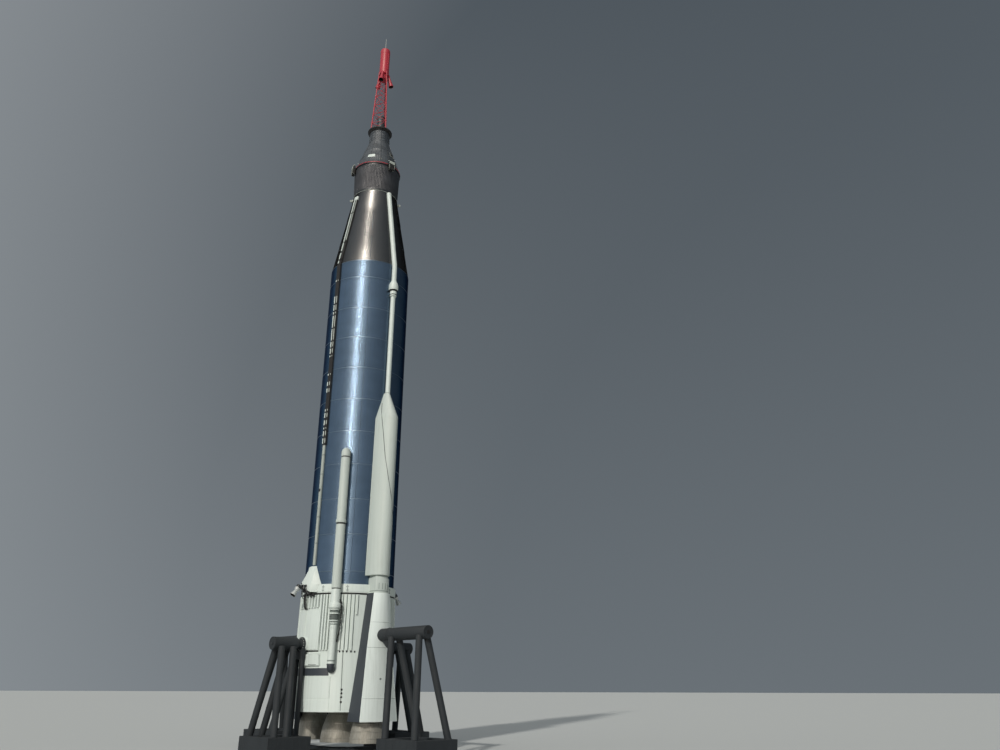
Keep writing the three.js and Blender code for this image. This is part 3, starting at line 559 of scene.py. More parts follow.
def capsule_wall(z):
    if z < NECK_Z:
        return CAPSULE_R - (z - CLAMP_Z) * (CAPSULE_R - NECK_R) / (NECK_Z - CLAMP_Z)
    return NECK_R - (z - NECK_Z) * 0.02 / (CAPSULE_TOP_Z - NECK_Z)


# Joints between the capsule's courses of shingles.
COURSES = [22.18, 22.62, 23.06, 23.65, 23.78, 23.91, 24.04, 24.165]
# Small ports, vents and umbilical doors round the capsule's lower courses: polar angle, height, radius.
CAPSULE_PORTS = [(-28, 22.36, 0.04), (-100, 22.36, 0.035), (95, 22.35, 0.04), (160, 22.4, 0.03)]


def make_capsule():
    shell = Piece(SHINGLE, DARK_METAL, PALE, HOLLOW, WHITE)
    profile, beaded = [(CAPSULE_R - 0.003, 22.181)], [False]
    for low, high in zip(COURSES, COURSES[1:]):
        # Each course of shingles stands 6 mm proud of the one below it.
        for z, proud, bead in ((low + 0.004, 0.006, False), (low + 0.014, 0.006, False), (low + 0.03, 0.002, True),
                               (high - 0.03, 0.0, True), (high - 0.012, 0.0, False), (high - 0.001, 0.0, False)):
            profile.append((capsule_wall(z) + proud, z))
            beaded.append(bead)
    profile.append((0.405, 24.1795))
    beaded.append(False)

    # Beads run up the shingles, 72 round the capsule, with a flat seam between panels at every sixth.
    def beads(angle, i):
        turn = 72 * angle / FULL
        flat = not beaded[i] or int(turn) % 6 == 0
        return 0.0 if flat else -0.007 * (0.5 - 0.5 * math.cos(FULL * turn))

    shell.turned(profile, segments=432, wave=beads)
    for k in range(12):
        polar = k * 30 + 2.5
        for low, high in zip(COURSES, COURSES[1:]):
            half = 0.004 / capsule_wall((low + high) / 2) * 57.3
            shell.pad(capsule_wall, around(polar, half), (low + 0.02, high - 0.015), 0.0045, side=0.001, end=0.004,
                      mark=1)
            washers = [turned_to(polar + s * 3 * half, capsule_wall(z) + 0.003, z)
                       for s in (-1, 1) for z in (low + 0.05, (low + high) / 2, high - 0.05)]
            shell.heads(washers, 0.007, 0.004, mark=1)
    # A bare pale plate, with a thin rim.
    shell.pad(capsule_wall, (-65.5, -43.5), (22.48, 22.655), 0.011, (-65.0, -44.0), side=0.004, end=0.004, mark=4)
    # Side hatch: a raised frame with bolts and a dark window in a pale rim; two more windows round the back.
    shell.pad(capsule_wall, (-4.0, 30.0), (22.5, 23.1), 0.009, (-1.0, 27.0), side=0.008, end=0.01, mark=1)
    shell.pad(capsule_wall, (-2.6, 28.6), (22.53, 23.07), 0.013, (0.2, 25.8), side=0.006, end=0.008)
    for z in (22.52, 23.09):
        shell.heads([turned_to(-1.5 + k * 3.3, capsule_wall(z) + 0.009, z) for k in range(9)], 0.007, 0.005, mark=1)
    for polar in (14.0, 77.0, 197.0):
        shell.pad(capsule_wall, around(polar, 9), (22.75, 23.02), 0.016, around(polar, 6), mark=2)
        shell.pad(capsule_wall, around(polar, 7.4), (22.78, 22.99), 0.018, around(polar, 4.8), side=0.004, end=0.004,
                  mark=3)
    for polar, z, r in CAPSULE_PORTS:
        place = turned_to(polar, capsule_wall(z) - 0.004, z) @ OUTWARD
        shell.turned([(r, -0.01), (r, 0.014), (r - 0.008, 0.016), (r - 0.01, 0.006)], place, 24, marks=[2, 2, 2, 3])
    shell.make("capsule_shingles", ["crew_capsule"])


def make_tower_seat():
    ring = Piece(BLACK, DARK_METAL)
    ring.turned([(0.3, 24.1805), (0.43, 24.1805), (0.44, 24.2), (0.47, 24.222), (0.502, 24.235), (0.51, 24.243),
                 (0.51, 24.285), (0.503, 24.293), (0.49, 24.296), (0.3, 24.2995)], segments=96)
    ring.heads(all_round(18, 0.509, 24.264, 4), 0.014, 0.01, mark=1)
    for web in all_round(9, first=14):
        ring.block((0.42, -0.012, 24.185), (0.475, 0.012, 24.23), web, 0.004)
    ring.make("tower_seat", ["tower_ring"])

    can = Piece(SHINGLE, DARK_METAL)
    beads = [(0.15, 24.3005), (0.158, 24.306), (0.158, 24.34)]
    for k in range(12):
        z = 24.37 + k * 0.055
        beads += [(0.153, z), (0.157, z + 0.018), (0.157, z + 0.03), (0.153, z + 0.048)]
    beads += [(0.16, 25.05), (0.16, 25.075), (0.154, 25.08), (0.154, 25.09), (0.158, 25.095), (0.156, 25.112),
              (0.14, 25.1195)]
    can.turned(beads, segments=64)
    can.heads(all_round(12, 0.159, 25.062), 0.006, 0.003, mark=1)
    can.make("antenna_can", ["antenna_canister"])


# Escape tower and motor

# The tower narrows from its foot to its head in bays; its legs run on into the motor's foot.
TOWER = {"foot_r": 0.4, "head_r": 0.229, "top_r": 0.205, "foot_z": 24.3, "head_z": 27.15, "top_z": 27.545,
         "bays": 6, "leg": 0.026, "rail": 0.0095, "joint": 0.033}
# The motor's nozzles: their polar angles, and both ends of a nozzle's middle line at polar 0.
NOZZLE = {"polars": (-52, 68, 188), "top": (0.2, 0, 27.46), "exit": (0.352, 0, 26.9)}


def tower_point(leg, level):
    """Where a leg's middle line passes a level; the level above the last bay is the legs' top."""
    angle = leg * FULL / 3
    t = level / TOWER["bays"]
    radius = TOWER["foot_r"] + (TOWER["head_r"] - TOWER["foot_r"]) * t
    z = TOWER["foot_z"] + (TOWER["head_z"] - TOWER["foot_z"]) * t
    if level > TOWER["bays"]:
        radius, z = TOWER["top_r"], TOWER["top_z"]
    return Vector((radius * math.cos(angle), radius * math.sin(angle), z))


def make_tower():
    truss = Piece(RED, DARK_METAL)
    bays = TOWER["bays"]
    for leg in range(3):
        truss.bar(tower_point(leg, 0), tower_point(leg, bays), TOWER["leg"], sides=16)
        truss.bar(tower_point(leg, bays), tower_point(leg, bays + 1), TOWER["leg"], sides=16)
        along = (tower_point(leg, bays) - tower_point(leg, 0)).normalized()
        for level in range(bays + 1):
            here, across = tower_point(leg, level), tower_point(leg + 1, level)
            truss.bar(here - along * (0.03 if level else 0.0), here + along * 0.03, TOWER["joint"], sides=16)
            if level:
                truss.bar(here, across, TOWER["rail"], sides=12)
            if level < bays:
                truss.bar(here, tower_point(leg + 1, level + 1), TOWER["rail"], sides=12)
                truss.bar(across, tower_point(leg, level + 1), TOWER["rail"], sides=12)
        foot = turned_to(leg * 120, TOWER["foot_r"], TOWER["foot_z"])
        truss.block((-0.07, -0.06, 0.001), (0.045, 0.06, 0.024), foot, 0.004)
        for dx, dy in ((-0.05, -0.042), (-0.05, 0.042), (0.027, -0.042), (0.027, 0.042)):
            truss.turned([(0.01, 0.02), (0.01, 0.036), (0.006, 0.04)], moved(foot, dx, dy), 6, mark=1)
    # Cable up one leg.
    truss.pipe([tower_point(1, 0.05 + 0.98 * k) - Vector((-0.02, 0.04, 0)) for k in range(7)], 0.01, mark=1)
    truss.turned([(0.17, 27.15), (0.182, 27.155), (0.182, 27.186), (0.17, 27.1895)])
    truss.make("tower_truss", ["escape_tower"])


def make_motor():
    nozzles = Piece(RED, HOLLOW, DARK_METAL)
    nozzles.turned([(0.16, 27.1905), (0.165, 27.2), (0.165, 27.3), (0.155, 27.32), (0.155, 27.5), (0.165, 27.52),
                    (0.165, 27.5495)])
    top, mouth = Vector(NOZZLE["top"]), Vector(NOZZLE["exit"])
    length = (mouth - top).length
    # Down the outside of a nozzle, round its lip and up inside it.
    bell = [(0.05, -0.02), (0.057, 0.0), (0.057, 0.07), (0.05, 0.1), (0.053, 0.14), (0.063, 0.24), (0.082, 0.4),
            (0.099, 0.52), (0.104, length - 0.03), (0.111, length - 0.026), (0.111, length), (0.1, length),
            (0.088, 0.48), (0.06, 0.3), (0.04, 0.18)]
    for polar in NOZZLE["polars"]:
        lie = turned_to(polar) @ Matrix.Translation(top) @ (mouth - top).to_track_quat("Z", "Y").to_matrix().to_4x4()
        nozzles.turned(bell, lie, 40, marks=[0] * 11 + [1] * 3)
        nozzles.ring(0.02, 0.049, 0.06, 0.064, lie, 32)
    nozzles.make("canted_nozzles", ["escape_nozzles"])

    case = Piece(RED, DARK_METAL)
    r = 0.212
    case.turned([(r - 0.012, 27.43), (r, 27.436), (r, 27.64), (r - 0.004, 27.646), (r - 0.004, 28.55), (r, 28.556),
                 (r, 28.735), (0.202, 28.78), (0.194, 28.7995)], segments=64)
    case.ring(28.11, 28.14, r - 0.006, r - 0.001, segments=64, rim=0.005)
    for z in (27.6, 28.59):
        case.heads(all_round(12, r - 0.001, z), 0.009, 0.006, mark=1)
    case.block((0.2, -0.018, 27.65), (0.223, 0.018, 28.55), turned_to(10), 0.005)
    case.make("motor_case", ["escape_motor"])

    spike = Piece(SILVER)
    spike.turned([(0.034, 28.8005), (0.034, 28.812), (0.026, 28.818), (0.026, 28.858), (0.02, 28.875), (0.009, 29.494),
                  (0.004, 29.5)], segments=24)
    spike.make("tip_spike", ["escape_spike"])


make_tank()
make_adapter()
make_clamp()
make_capsule()
make_tower_seat()
make_tower()
make_motor()


# Pods, conduit, raceway and oxygen line

# Heights of the pod's shoulder and top, and the distance of its section's centre from the axis.
POD = {"shoulder": 10.95, "top": 11.95, "foot": 1.48}
# Rows up the pod, where it changes slope: height, half width and reach.
POD_ROWS = [(5.42, 0.400, 0.600), (10.95, 0.362, 0.680), (11.95, 0.09, 0.225)]
# The pods and collars reach in to this distance from the axis.
CORE_R = 1.40


def pod_section(z):
    """Half width and reach of the pod at a height."""
    for (z0, h0, r0), (z1, h1, r1) in zip(POD_ROWS, POD_ROWS[1:]):
        if z <= z1:
            t = (z - z0) / (z1 - z0)
            return h0 + (h1 - h0) * t, r0 + (r1 - r0) * t
    return POD_ROWS[-1][1:]


def pod_point(degrees, z, lift=0.0):
    half, reach = pod_section(z)
    angle = math.radians(degrees)
    return (POD["foot"] + (reach + lift) * math.cos(angle), (half + lift) * math.sin(angle), z)


def pod_outline(z, inset=0.0):
    half = pod_section(z)[0]
    arc = [pod_point(-90 + 180 * k / 28, z, -inset) for k in range(29)]
    return [(CORE_R, -half + inset, z), *arc, (CORE_R, half - inset, z)]


# The cable over the pod's face: angle round the pod's section, from -90 at one edge to 90, and height.
STRAP_ROUTE = [(-74, 11.52), (-68, 11.2), (-62, 10.9), (-50, 10.2), (-39, 9.49), (-20, 8.75), (0, 8.15), (25, 7.55),
               (47, 7.04), (64, 6.6), (80, 6.2)]
# Rows up the collar: distance of its corners from the axis, half width and height.
COLLAR_ROWS = [(1.92, 0.262, 4.851), (1.92, 0.262, 4.9), (1.914, 0.256, 4.905), (1.914, 0.256, 4.925),
               (1.92, 0.262, 4.93), (1.92, 0.262, 5.3), (1.86, 0.225, 5.419)]
COLLAR_BOW = 0.1


def make_pod(letter, polar):
    place = turned_to(polar)
    pod = Piece(CHALKED, STRAP)
    shoulder, top = POD["shoulder"], POD["top"]
    pod.skin([pod_outline(5.421, 0.012), pod_outline(5.435), pod_outline(shoulder - 0.012),
              pod_outline(shoulder + 0.012), pod_outline(top - 0.02), pod_outline(top - 0.001, 0.03)], place)
    # The flange along the tank on both sides, riveted.
    for side in (-1, 1):
        pod.pipe([pod_point(side * 89, z) for z in (5.45, 8.2, 10.94)], 0.012, 6, place)
        pod.heads([moved(place, *pod_point(side * 84, 5.6 + 0.35 * k)) @ Matrix.Rotation(side * 1.2, 4, "Z")
                   for k in range(16)], 0.008, 0.004)
    pod.pipe([pod_point(a, z, 0.006) for a, z in STRAP_ROUTE], 0.009, 8, place, mark=1)
    pod.make(f"pod_{letter}_shell", [f"equipment_pod_{letter}"])

    collar = Piece(CHALKED, SEALANT_AND_SHADE)

    def bowed(corner, half, z, steps=16):
        ts = [2 * k / steps - 1 for k in range(steps + 1)]
        arc = [(corner + COLLAR_BOW * (1 - t * t), half * t, z) for t in ts]
        return [(CORE_R, -half, z), *arc, (CORE_R, half, z)]

    collar.skin([bowed(*row) for row in COLLAR_ROWS], place, marks=[0, 0, 1, 0, 0, 0])
    corner, half, _ = COLLAR_ROWS[0]
    for k in range(9):
        t = k / 4.5 - 0.889
        rib = moved(place, corner + COLLAR_BOW * (1 - t * t), half * t)
        rib = rib @ Matrix.Rotation(math.atan2(2 * COLLAR_BOW * t, half), 4, "Z")
        collar.block((-0.012, -0.009, 4.97), (0.007, 0.009, 5.17), rib, 0.003, mark=1 if k % 2 else 0)
    collar.make(f"pod_{letter}_collar", [f"pod_collar_{letter}"])


# The conduit leans in along the nose cone, then stands off the barrel.
CONDUIT = {"top": (NOSE_TOP_R + 0.055, 0, 20.73), "bend": (TANK_R + 0.07, 0, SHOULDER_Z), "axis": TANK_R + 0.09,
           "lean": -0.17}


def make_conduit():
    top, bend, axis = Vector(CONDUIT["top"]), Vector(CONDUIT["bend"]), CONDUIT["axis"]
    lean = Matrix.Rotation(CONDUIT["lean"], 4, "Y")
    run = Piece(WHITE)
    route = [top, *(top.lerp(bend, t) for t in (0.1, 0.35, 0.6, 0.85, 0.96)), bend]
    route += [(axis - 0.004, 0, SHOULDER_Z - 0.12), (axis, 0, 16.9), (axis, 0, 16.545)]
    run.pipe(route, 0.0935, 32)
    run.turned([(0.05, -0.03), (0.09, -0.02), (0.098, 0.0), (0.098, 0.05)], Matrix.Translation(top) @ lean, 32)
    for t in (0.0, 0.25, 0.5, 0.75, 1.0):
        run.ring(-0.03, 0.03, 0.092, 0.097, Matrix.Translation(top.lerp(bend, t)) @ lean, 32)
    run.make("conduit_upper_run", ["conduit_nose"])

    # A barrel with a sharp lower lip over a black neck and a short collar, grooved near its foot; the black neck and
    # lip underside are painted shade under the lip.
    housing = Piece(WHITE, BLACK)
    at = turned_to(0, axis)
    housing.turned([(0.12, 15.851), (0.125, 15.856), (0.125, 15.9), (0.11, 15.905), (0.11, 15.93), (0.125, 15.935),
                    (0.125, 16.055), (0.105, 16.06), (0.105, 16.108), (0.15, 16.11), (0.165, 16.113), (0.176, 16.15),
                    (0.182, 16.2), (0.182, 16.29), (0.172, 16.34), (0.14, 16.43), (0.105, 16.5), (0.095, 16.545)],
                   at, marks=[0, 0, 1, 1, 1, 0, 0, 1, 1, 1] + [0] * 7)
    housing.make("conduit_barrel_housing", ["conduit_housing"])

    line = Piece(WHITE)
    profile = [(0.088, 11.945)]
    for z in (12.6, 13.7, 14.8):
        profile += [(0.088, z - 0.03), (0.092, z - 0.026), (0.092, z + 0.026), (0.088, z + 0.03)]
    line.turned([*profile, (0.088, 15.8495)], at, 32)
    line.make("conduit_lower_run", ["conduit_tank"])


# Pale covers on the black part of the raceway: lowest and highest point of each.
PALE_COVERS = [(10.03, 10.23), (10.31, 10.50), (10.56, 10.63), (10.72, 10.90), (11.00, 11.18), (11.24, 11.32),
               (11.96, 12.12), (12.22, 12.38), (12.63, 12.70), (13.36, 13.42), (13.50, 13.70), (13.75, 13.97),
               (14.03, 14.50), (14.56, 15.05), (15.11, 15.20), (15.26, 15.50), (15.56, 15.86), (16.49, 16.56)]
RACEWAY_POLAR = -85.5


def make_raceway():
    strip = Piece(SEALANT_AND_SHADE, BLACK, PALE, WHITE)
    place = turned_to(RACEWAY_POLAR)
    strip.block((TANK_R - 0.03, -0.055, 5.781), (TANK_R + 0.05, 0.055, 9.97), place, mark=2)
    strip.block((TANK_R - 0.03, -0.09, 9.972), (TANK_R + 0.055, 0.09, SHOULDER_Z - 0.002), place, mark=1)
    # Two columns of covers: bright ones along the left edge, dusty ones right of the middle.
    for low, high in PALE_COVERS:
        strip.block((TANK_R, -0.087, low), (TANK_R + 0.065, -0.045, high), place, 0.005, mark=3)
        strip.block((TANK_R, 0.028, low + 0.01), (TANK_R + 0.062, 0.072, high - 0.01), place, 0.005, mark=2)
    for z in (6.5, 7.4, 8.9, 9.6):
        strip.block((TANK_R - 0.02, -0.065, z), (TANK_R + 0.056, 0.065, z + 0.03), place, 0.004)
    strip.block((TANK_R, -0.06, 8.3), (TANK_R + 0.062, 0.03, 8.4), place, mark=1)
    strip.make("raceway_covers", ["raceway_tank"])

    upper = Piece(SEALANT_AND_SHADE, BLACK, PALE, WHITE)

    def row(z, half, reach, shift=0.0):
        """A row of a strip that stands off the nose cone by its reach."""
        r = nose_wall(z)
        return [(r + x, shift + y, z) for x, y in ((-0.1, -half), (reach, -half), (reach, half), (-0.1, half))]

    def cover(low, high, half, reach, mark, shift=0.0):
        upper.skin([row(low, half, reach, shift), row(high, half, reach, shift)], place, mark=mark)

    high = 20.45
    upper.skin([row(SHOULDER_Z + 0.001, 0.09, 0.035), row(high, 0.095, 0.035)], place, mark=1)
    cover(18.4, high, 0.02, 0.05, 2, 0.05)
    for start, end in ((17.3, 17.42), (17.5, 17.8), (17.9, high)):
        cover(start, end, 0.022, 0.055, 3, -0.065)
    for z in (17.45, 18.3, 19.75):
        cover(z, z + 0.04, 0.09, 0.058, 1)
    head = moved(place, nose_wall(20.5), 0, 20.5) @ Matrix.Rotation(CONDUIT["lean"], 4, "Y")
    upper.block((-0.06, -0.098, -0.1), (0.062, 0.098, 0.095), head, 0.015, mark=3)
    upper.make("raceway_nose_covers", ["raceway_nose"])


# The oxygen line: polar angle, distance of its middle from the axis, and radius.
LOX = {"polar": -48.0, "axis": 1.73, "r": 0.155}
# The oxygen line's rings from its lower pipe up to the valve: foot, top, radius, finish number.
OXYGEN_RINGS = [(3.83, 3.86, 0.138, 0), (3.875, 3.905, 0.138, 0), (3.93, 3.97, 0.155, 0), (4.0, 4.03, 0.147, 1),
                (4.032, 4.062, 0.147, 1), (4.064, 4.094, 0.147, 1), (4.096, 4.127, 0.147, 1), (4.147, 4.198, 0.165, 0),
                (4.215, 4.255, 0.15, 2), (4.27, 4.305, 0.17, 0)]
# Thin control hoses hang from the valve in uneven loops: the heights, and each hose's swing at them.
HOSE_HEIGHTS = [4.62, 4.5, 4.38, 4.27, 4.16, 4.05, 3.94, 3.82, 3.7, 3.52, 3.3]
HOSE_SWINGS = [(-0.05, 0.0, 0.012, -0.01, 0.03, 0.02, -0.01, 0.0, -0.03, -0.04, -0.08),
               (-0.06, -0.01, 0.03, 0.02, -0.012, 0.012, 0.035, -0.012, 0.0, -0.05, -0.07),
               (-0.04, 0.012, -0.012, 0.02, 0.04, -0.01, 0.01, 0.03, -0.03, -0.02, -0.09),
               (-0.07, -0.03, 0.0, 0.035, 0.0, 0.03, -0.012, -0.02, 0.01, -0.06, -0.1)]


def make_oxygen_line():
    at = turned_to(LOX["polar"], LOX["axis"])
    r = LOX["r"]
    line = Piece(CHALKED, BLACK, SEALANT_AND_SHADE, DARK_METAL)
    dome = [(r, 9.56), (r - 0.012, 9.61), (r - 0.035, 9.655), (r - 0.07, 9.69), (r - 0.11, 9.706), (0.01, 9.709)]
    line.turned([(r, 4.972), (r, 7.05), (r - 0.006, 7.056), (r - 0.006, 7.1), (r + 0.016, 7.105), (r + 0.021, 7.12),
                 (r + 0.021, 7.2), (r + 0.014, 7.21), (r, 7.22), (r, 9.36), (r - 0.01, 9.365), (r - 0.01, 9.4),
                 (r, 9.405), *dome], at, 56, marks=[0, 1, 1] + [0] * 7 + [1] + [0] * 7)
    for z in (9.2, 7.6, 6.0):
        line.block((-0.24, -0.06, z), (-0.12, 0.06, z + 0.06), at)
        line.ring(z, z + 0.06, r - 0.002, r + 0.004, at)
    line.make("oxygen_line_pipe", ["lox_line"])

    valve = Piece(WHITE, BLACK, SEALANT_AND_SHADE)
    valve.turned([(0.14, 4.312), (0.168, 4.314), (0.17, 4.33), (0.192, 4.35), (0.196, 4.4), (0.192, 4.455),
                  (0.17, 4.49), (0.153, 4.51), (0.148, 4.53), (0.15, 4.7), (0.152, 4.94), (0.146, 4.946),
                  (0.146, 4.9695)], at, 56, marks=[0] * 10 + [1, 1])
    for k, swings in enumerate(HOSE_SWINGS):
        reach, side = 0.03 * k - 0.05, 0.2 + 0.008 * k
        route = [(reach + 0.4 * swing, side + swing, z) for swing, z in zip(swings, HOSE_HEIGHTS)]
        valve.pipe(route, 0.0105 - 0.001 * k, 8, at, mark=1)
    valve.make("oxygen_valve_body", ["lox_valve"])

    bellows = Piece(WHITE, RUBBER, SEALANT_AND_SHADE)
    core = 0.118
    profile, marks = [(core, 3.8205)], []
    for foot, top, reach, mark in OXYGEN_RINGS:
        profile += [(core, foot), (reach, foot + 0.004), (reach, top - 0.004), (core, top)]
        marks += [1, mark, mark, mark]
    bellows.turned([*profile, (core, 4.3095)], at, marks=[*marks, 1])
    bellows.make("oxygen_bellows", ["lox_bellows"])

    low = Piece(WHITE, DARK, SEALANT_AND_SHADE)
    low.turned([(0.115, 2.6), (0.115, 3.72), (0.122, 3.73), (0.122, 3.79), (0.115, 3.8), (0.115, 3.8195)], at)
    low.ring(2.71, 2.755, 0.11, 0.119, at, rim=0.005, mark=2)
    elbow = [(0, 2.632), (0, 2.582), (-0.015, 2.542), (-0.05, 2.502), (-0.1, 2.482), (-0.25, 2.477)]
    low.pipe([(x, 0, z) for x, z in elbow], 0.117, 40, at, mark=1)
    low.ring(2.6, 2.644, 0.119, 0.127, at, mark=1)
    for z in (3.3, 2.95):
        low.block((-0.2, -0.03, z), (-0.1, 0.03, z + 0.04), at, 0.004)
        low.ring(z, z + 0.04, 0.115, 0.12, at)
    low.make("oxygen_lower_pipe", ["lox_lower_pipe"])


for letter, polar in (("a", 0), ("b", 180)):
    make_pod(letter, polar)
make_conduit()
make_raceway()
make_oxygen_line()


# Booster skirt and nacelles

# The skirt's wall at its foot and at its top: radius and height.
SKIRT_LOW, SKIRT_TOP = (1.60, 1.22), (1.56, 4.85)


def skirt_wall(z):
    t = (z - SKIRT_LOW[1]) / (SKIRT_TOP[1] - SKIRT_LOW[1])
    return SKIRT_LOW[0] + (SKIRT_TOP[0] - SKIRT_LOW[0]) * t


# Radius of the ring on top of the skirt.
SKIRT_RING_R = 1.594


def ring_wall(z):
    return SKIRT_RING_R


# What the skirt carries in one quarter, polar -90 to 0. Stringers: polar centre, half width in degrees and foot.
STRINGERS = [(-41.3, 1.25, 3.05), (-36.9, 1.25, 3.05), (-32.4, 1.25, 3.05), (-27.8, 1.25, 3.05), (-23.4, 1.1, 4.16),
             (-67.2, 1.2, 3.05), (-63.2, 1.2, 3.05), (-59.6, 1.2, 3.05), (-55.8, 1.2, 3.05), (-86.4, 1.3, 4.38),
             (-81.5, 1.3, 4.38), (-76.6, 1.3, 4.38), (-72.0, 1.3, 4.38)]
STRINGER_TOP = 4.8
# Sheets: polar limits at the foot and at the top, heights, lift, finish number.
SHEETS = [((-88.0, -65.2), (-88.0, -68.6), (3.06, 4.34), 0.03, 0),
          ((-84.4, -61.6), (-83.0, -63.0), (2.56, 2.97), 0.075, 0),
          ((-84.4, -66.0), (-84.4, -66.0), (3.01, 3.055), 0.01, 3),
          ((-89.0, -51.0), (-89.0, -51.2), (2.29, 2.52), 0.012, 2),
          ((-89.0, -49.0), (-89.0, -49.4), (1.62, 2.26), 0.006, 0),
          ((-89.0, -47.6), (-89.0, -48.0), (1.235, 1.58), 0.008, 0),
          ((-48.4, -48.0), (-48.8, -48.4), (1.62, 2.26), 0.004, 1),
          ((-47.0, -35.3), (-48.4, -36.6), (1.3, 2.98), 0.005, 0),
          ((-34.0, -22.0), (-35.2, -15.0), (1.3, 2.98), 0.005, 0)]
# Rows of rivets: first polar angle, step, count, heights, how far they stand off and how high they are.
RIVET_ROWS = [(-20, 1.9, 36, (2.27, 3.02), 0.004, 0.004), (-50.5, 2.4, 16, (1.27, 1.55, 1.65, 2.24), 0.008, 0.003)]
# Quarters: a half turn added to the angle, and whether the quarter is mirrored.
QUARTERS = [(0, 1), (0, -1), (180, 1), (180, -1)]


def in_quarter(quarter, polar):
    """Where an angle given for the first quarter lies in another quarter."""
    half_turn, side = quarter
    return half_turn + side * polar


def skirt_pad(piece, quarter, foot, heights, lift, top=None, **how):
    """A sheet on the skirt, its limits given for the first quarter."""
    foot, top = [tuple(sorted(in_quarter(quarter, polar) for polar in span)) for span in (foot, top or foot)]
    piece.pad(skirt_wall, foot, heights, lift, top, **how)


def make_skirt():
    shell = Piece(WHITE, HOLLOW)
    # Faces turned inwards take the near-black finish: painted shade inside the skirt.
    shell.cut_from("booster_skirt", lambda normal, centre: int(normal.x * centre.x + normal.y * centre.y < -0.1))
    shell.make("skirt_shell", ["booster_skirt"], crease=40)

    fittings = Piece(WHITE, SEALANT_AND_SHADE, DARK, BLACK, DARK_METAL)
    for quarter in QUARTERS:
        for centre, half, foot in STRINGERS:
            # Each stringer's sloped foot takes the black finish: painted shade at its open end.
            skirt_pad(fittings, quarter, around(centre, half), (foot, STRINGER_TOP), 0.048, side=0.008, end=0.004,
                      foot_mark=3)
            # Painted shadow in the corner beside each stringer, a thin grey pad.
            skirt_pad(fittings, quarter, (centre + half, centre + half + 0.8), (foot + 0.02, STRINGER_TOP), 0.004,
                      side=0.002, end=0.01, mark=1)
        for low, high, heights, lift, mark in SHEETS:
            rim = min(0.04, 0.5 * lift) if lift > 0.02 else min(0.006, 0.6 * lift)
            skirt_pad(fittings, quarter, low, heights, lift, high, side=rim, end=rim, mark=mark)
        # Half-round recess under the bulged panel, drawn as a black sheet: painted shade in the recess.
        skirt_pad(fittings, quarter, (-80.7, -62.8), (2.605, 2.645), 0.078, side=0.1, end=0.014, mark=3)
        # Cut ends below the stringers, drawn as black pads: painted shade in their open ends. Then the joint that
        # carries the four big bolts.
        for polar in (-40.1, -36.2, -31.9, -27.1, -22.8):
            skirt_pad(fittings, quarter, around(polar, 0.9), (2.99, 3.047), 0.014, side=0.004, end=0.004, mark=3)
        skirt_pad(fittings, quarter, (-35.3, -34.3), (1.26, 3.0), 0.003, (-36.7, -35.7), side=0.004, mark=1)
        for z in (1.52, 1.66, 1.77, 1.88):
            bolt = turned_to(in_quarter(quarter, -34.8), skirt_wall(z) + 0.002, z)
            fittings.heads([bolt], 0.034, 0.018, 10, mark=3)
        for first, step, count, heights, off, head in RIVET_ROWS:
            fittings.heads([turned_to(in_quarter(quarter, first - k * step), skirt_wall(z) + off, z)
                            for z in heights for k in range(count)], 0.006, head)
    fittings.turned([(1.58, 1.221), (1.609, 1.224), (1.609, 1.262), (1.59, 1.266)], segments=128)
    # Open joint between the skirt and its top ring, drawn black: the gap, and painted shadow under the ring's lip.
    fittings.turned([(1.55, 4.8), (1.571, 4.803), (1.571, 4.849), (1.55, 4.8497)], segments=128, mark=3)
    fittings.make("skirt_fittings")

    r = SKIRT_RING_R
    ring = Piece(WHITE, SEALANT_AND_SHADE, DARK_METAL)
    ring.turned([(1.53, 4.851), (r - 0.009, 4.853), (r - 0.007, 4.875), (r, 4.882), (r, 5.09), (r - 0.004, 5.1),
                 (r - 0.004, 5.122), (r - 0.012, 5.1295), (1.53, 5.1295)], segments=144)
    for k in range(12):
        polar = -36 + k * 30
        ring.pad(ring_wall, around(polar, 0.5), (4.885, 5.088), 0.004, side=0.002, end=0.003, mark=1)
        ring.heads([turned_to(polar + s * 1.2, r, z) for s in (-1, 1) for z in (4.93, 5.04)], 0.011, 0.008, mark=2)
    ring.heads(all_round(80, r, 4.9), 0.008, 0.004)
    ring.make("skirt_ring_joint", ["skirt_top_ring"])


# Rows up a nacelle: height, distance of its corners from the axis and half width.
NACELLE_ROWS = [(0.95, 2.105, 0.715), (3.15, 1.95, 0.48), (4.8497, 1.93, 0.315)]
# How far the middle of a nacelle's outer face bows out, and the heights of its laps.
NACELLE_BOW = 0.14
NACELLE_LAPS = (3.92, 3.14, 1.62)


def nacelle_point(t, z, lift=0.0):
    """A point on a nacelle's bowed outer face; t runs from -1 to 1 across it."""
    (z0, c0, h0), (z1, c1, h1) = NACELLE_ROWS[:2] if z <= NACELLE_ROWS[1][0] else NACELLE_ROWS[1:]
    k = (z - z0) / (z1 - z0)
    corner, half = c0 + (c1 - c0) * k, h0 + (h1 - h0) * k
    return (corner + NACELLE_BOW * (1 - t * t) + lift, half * t, z)


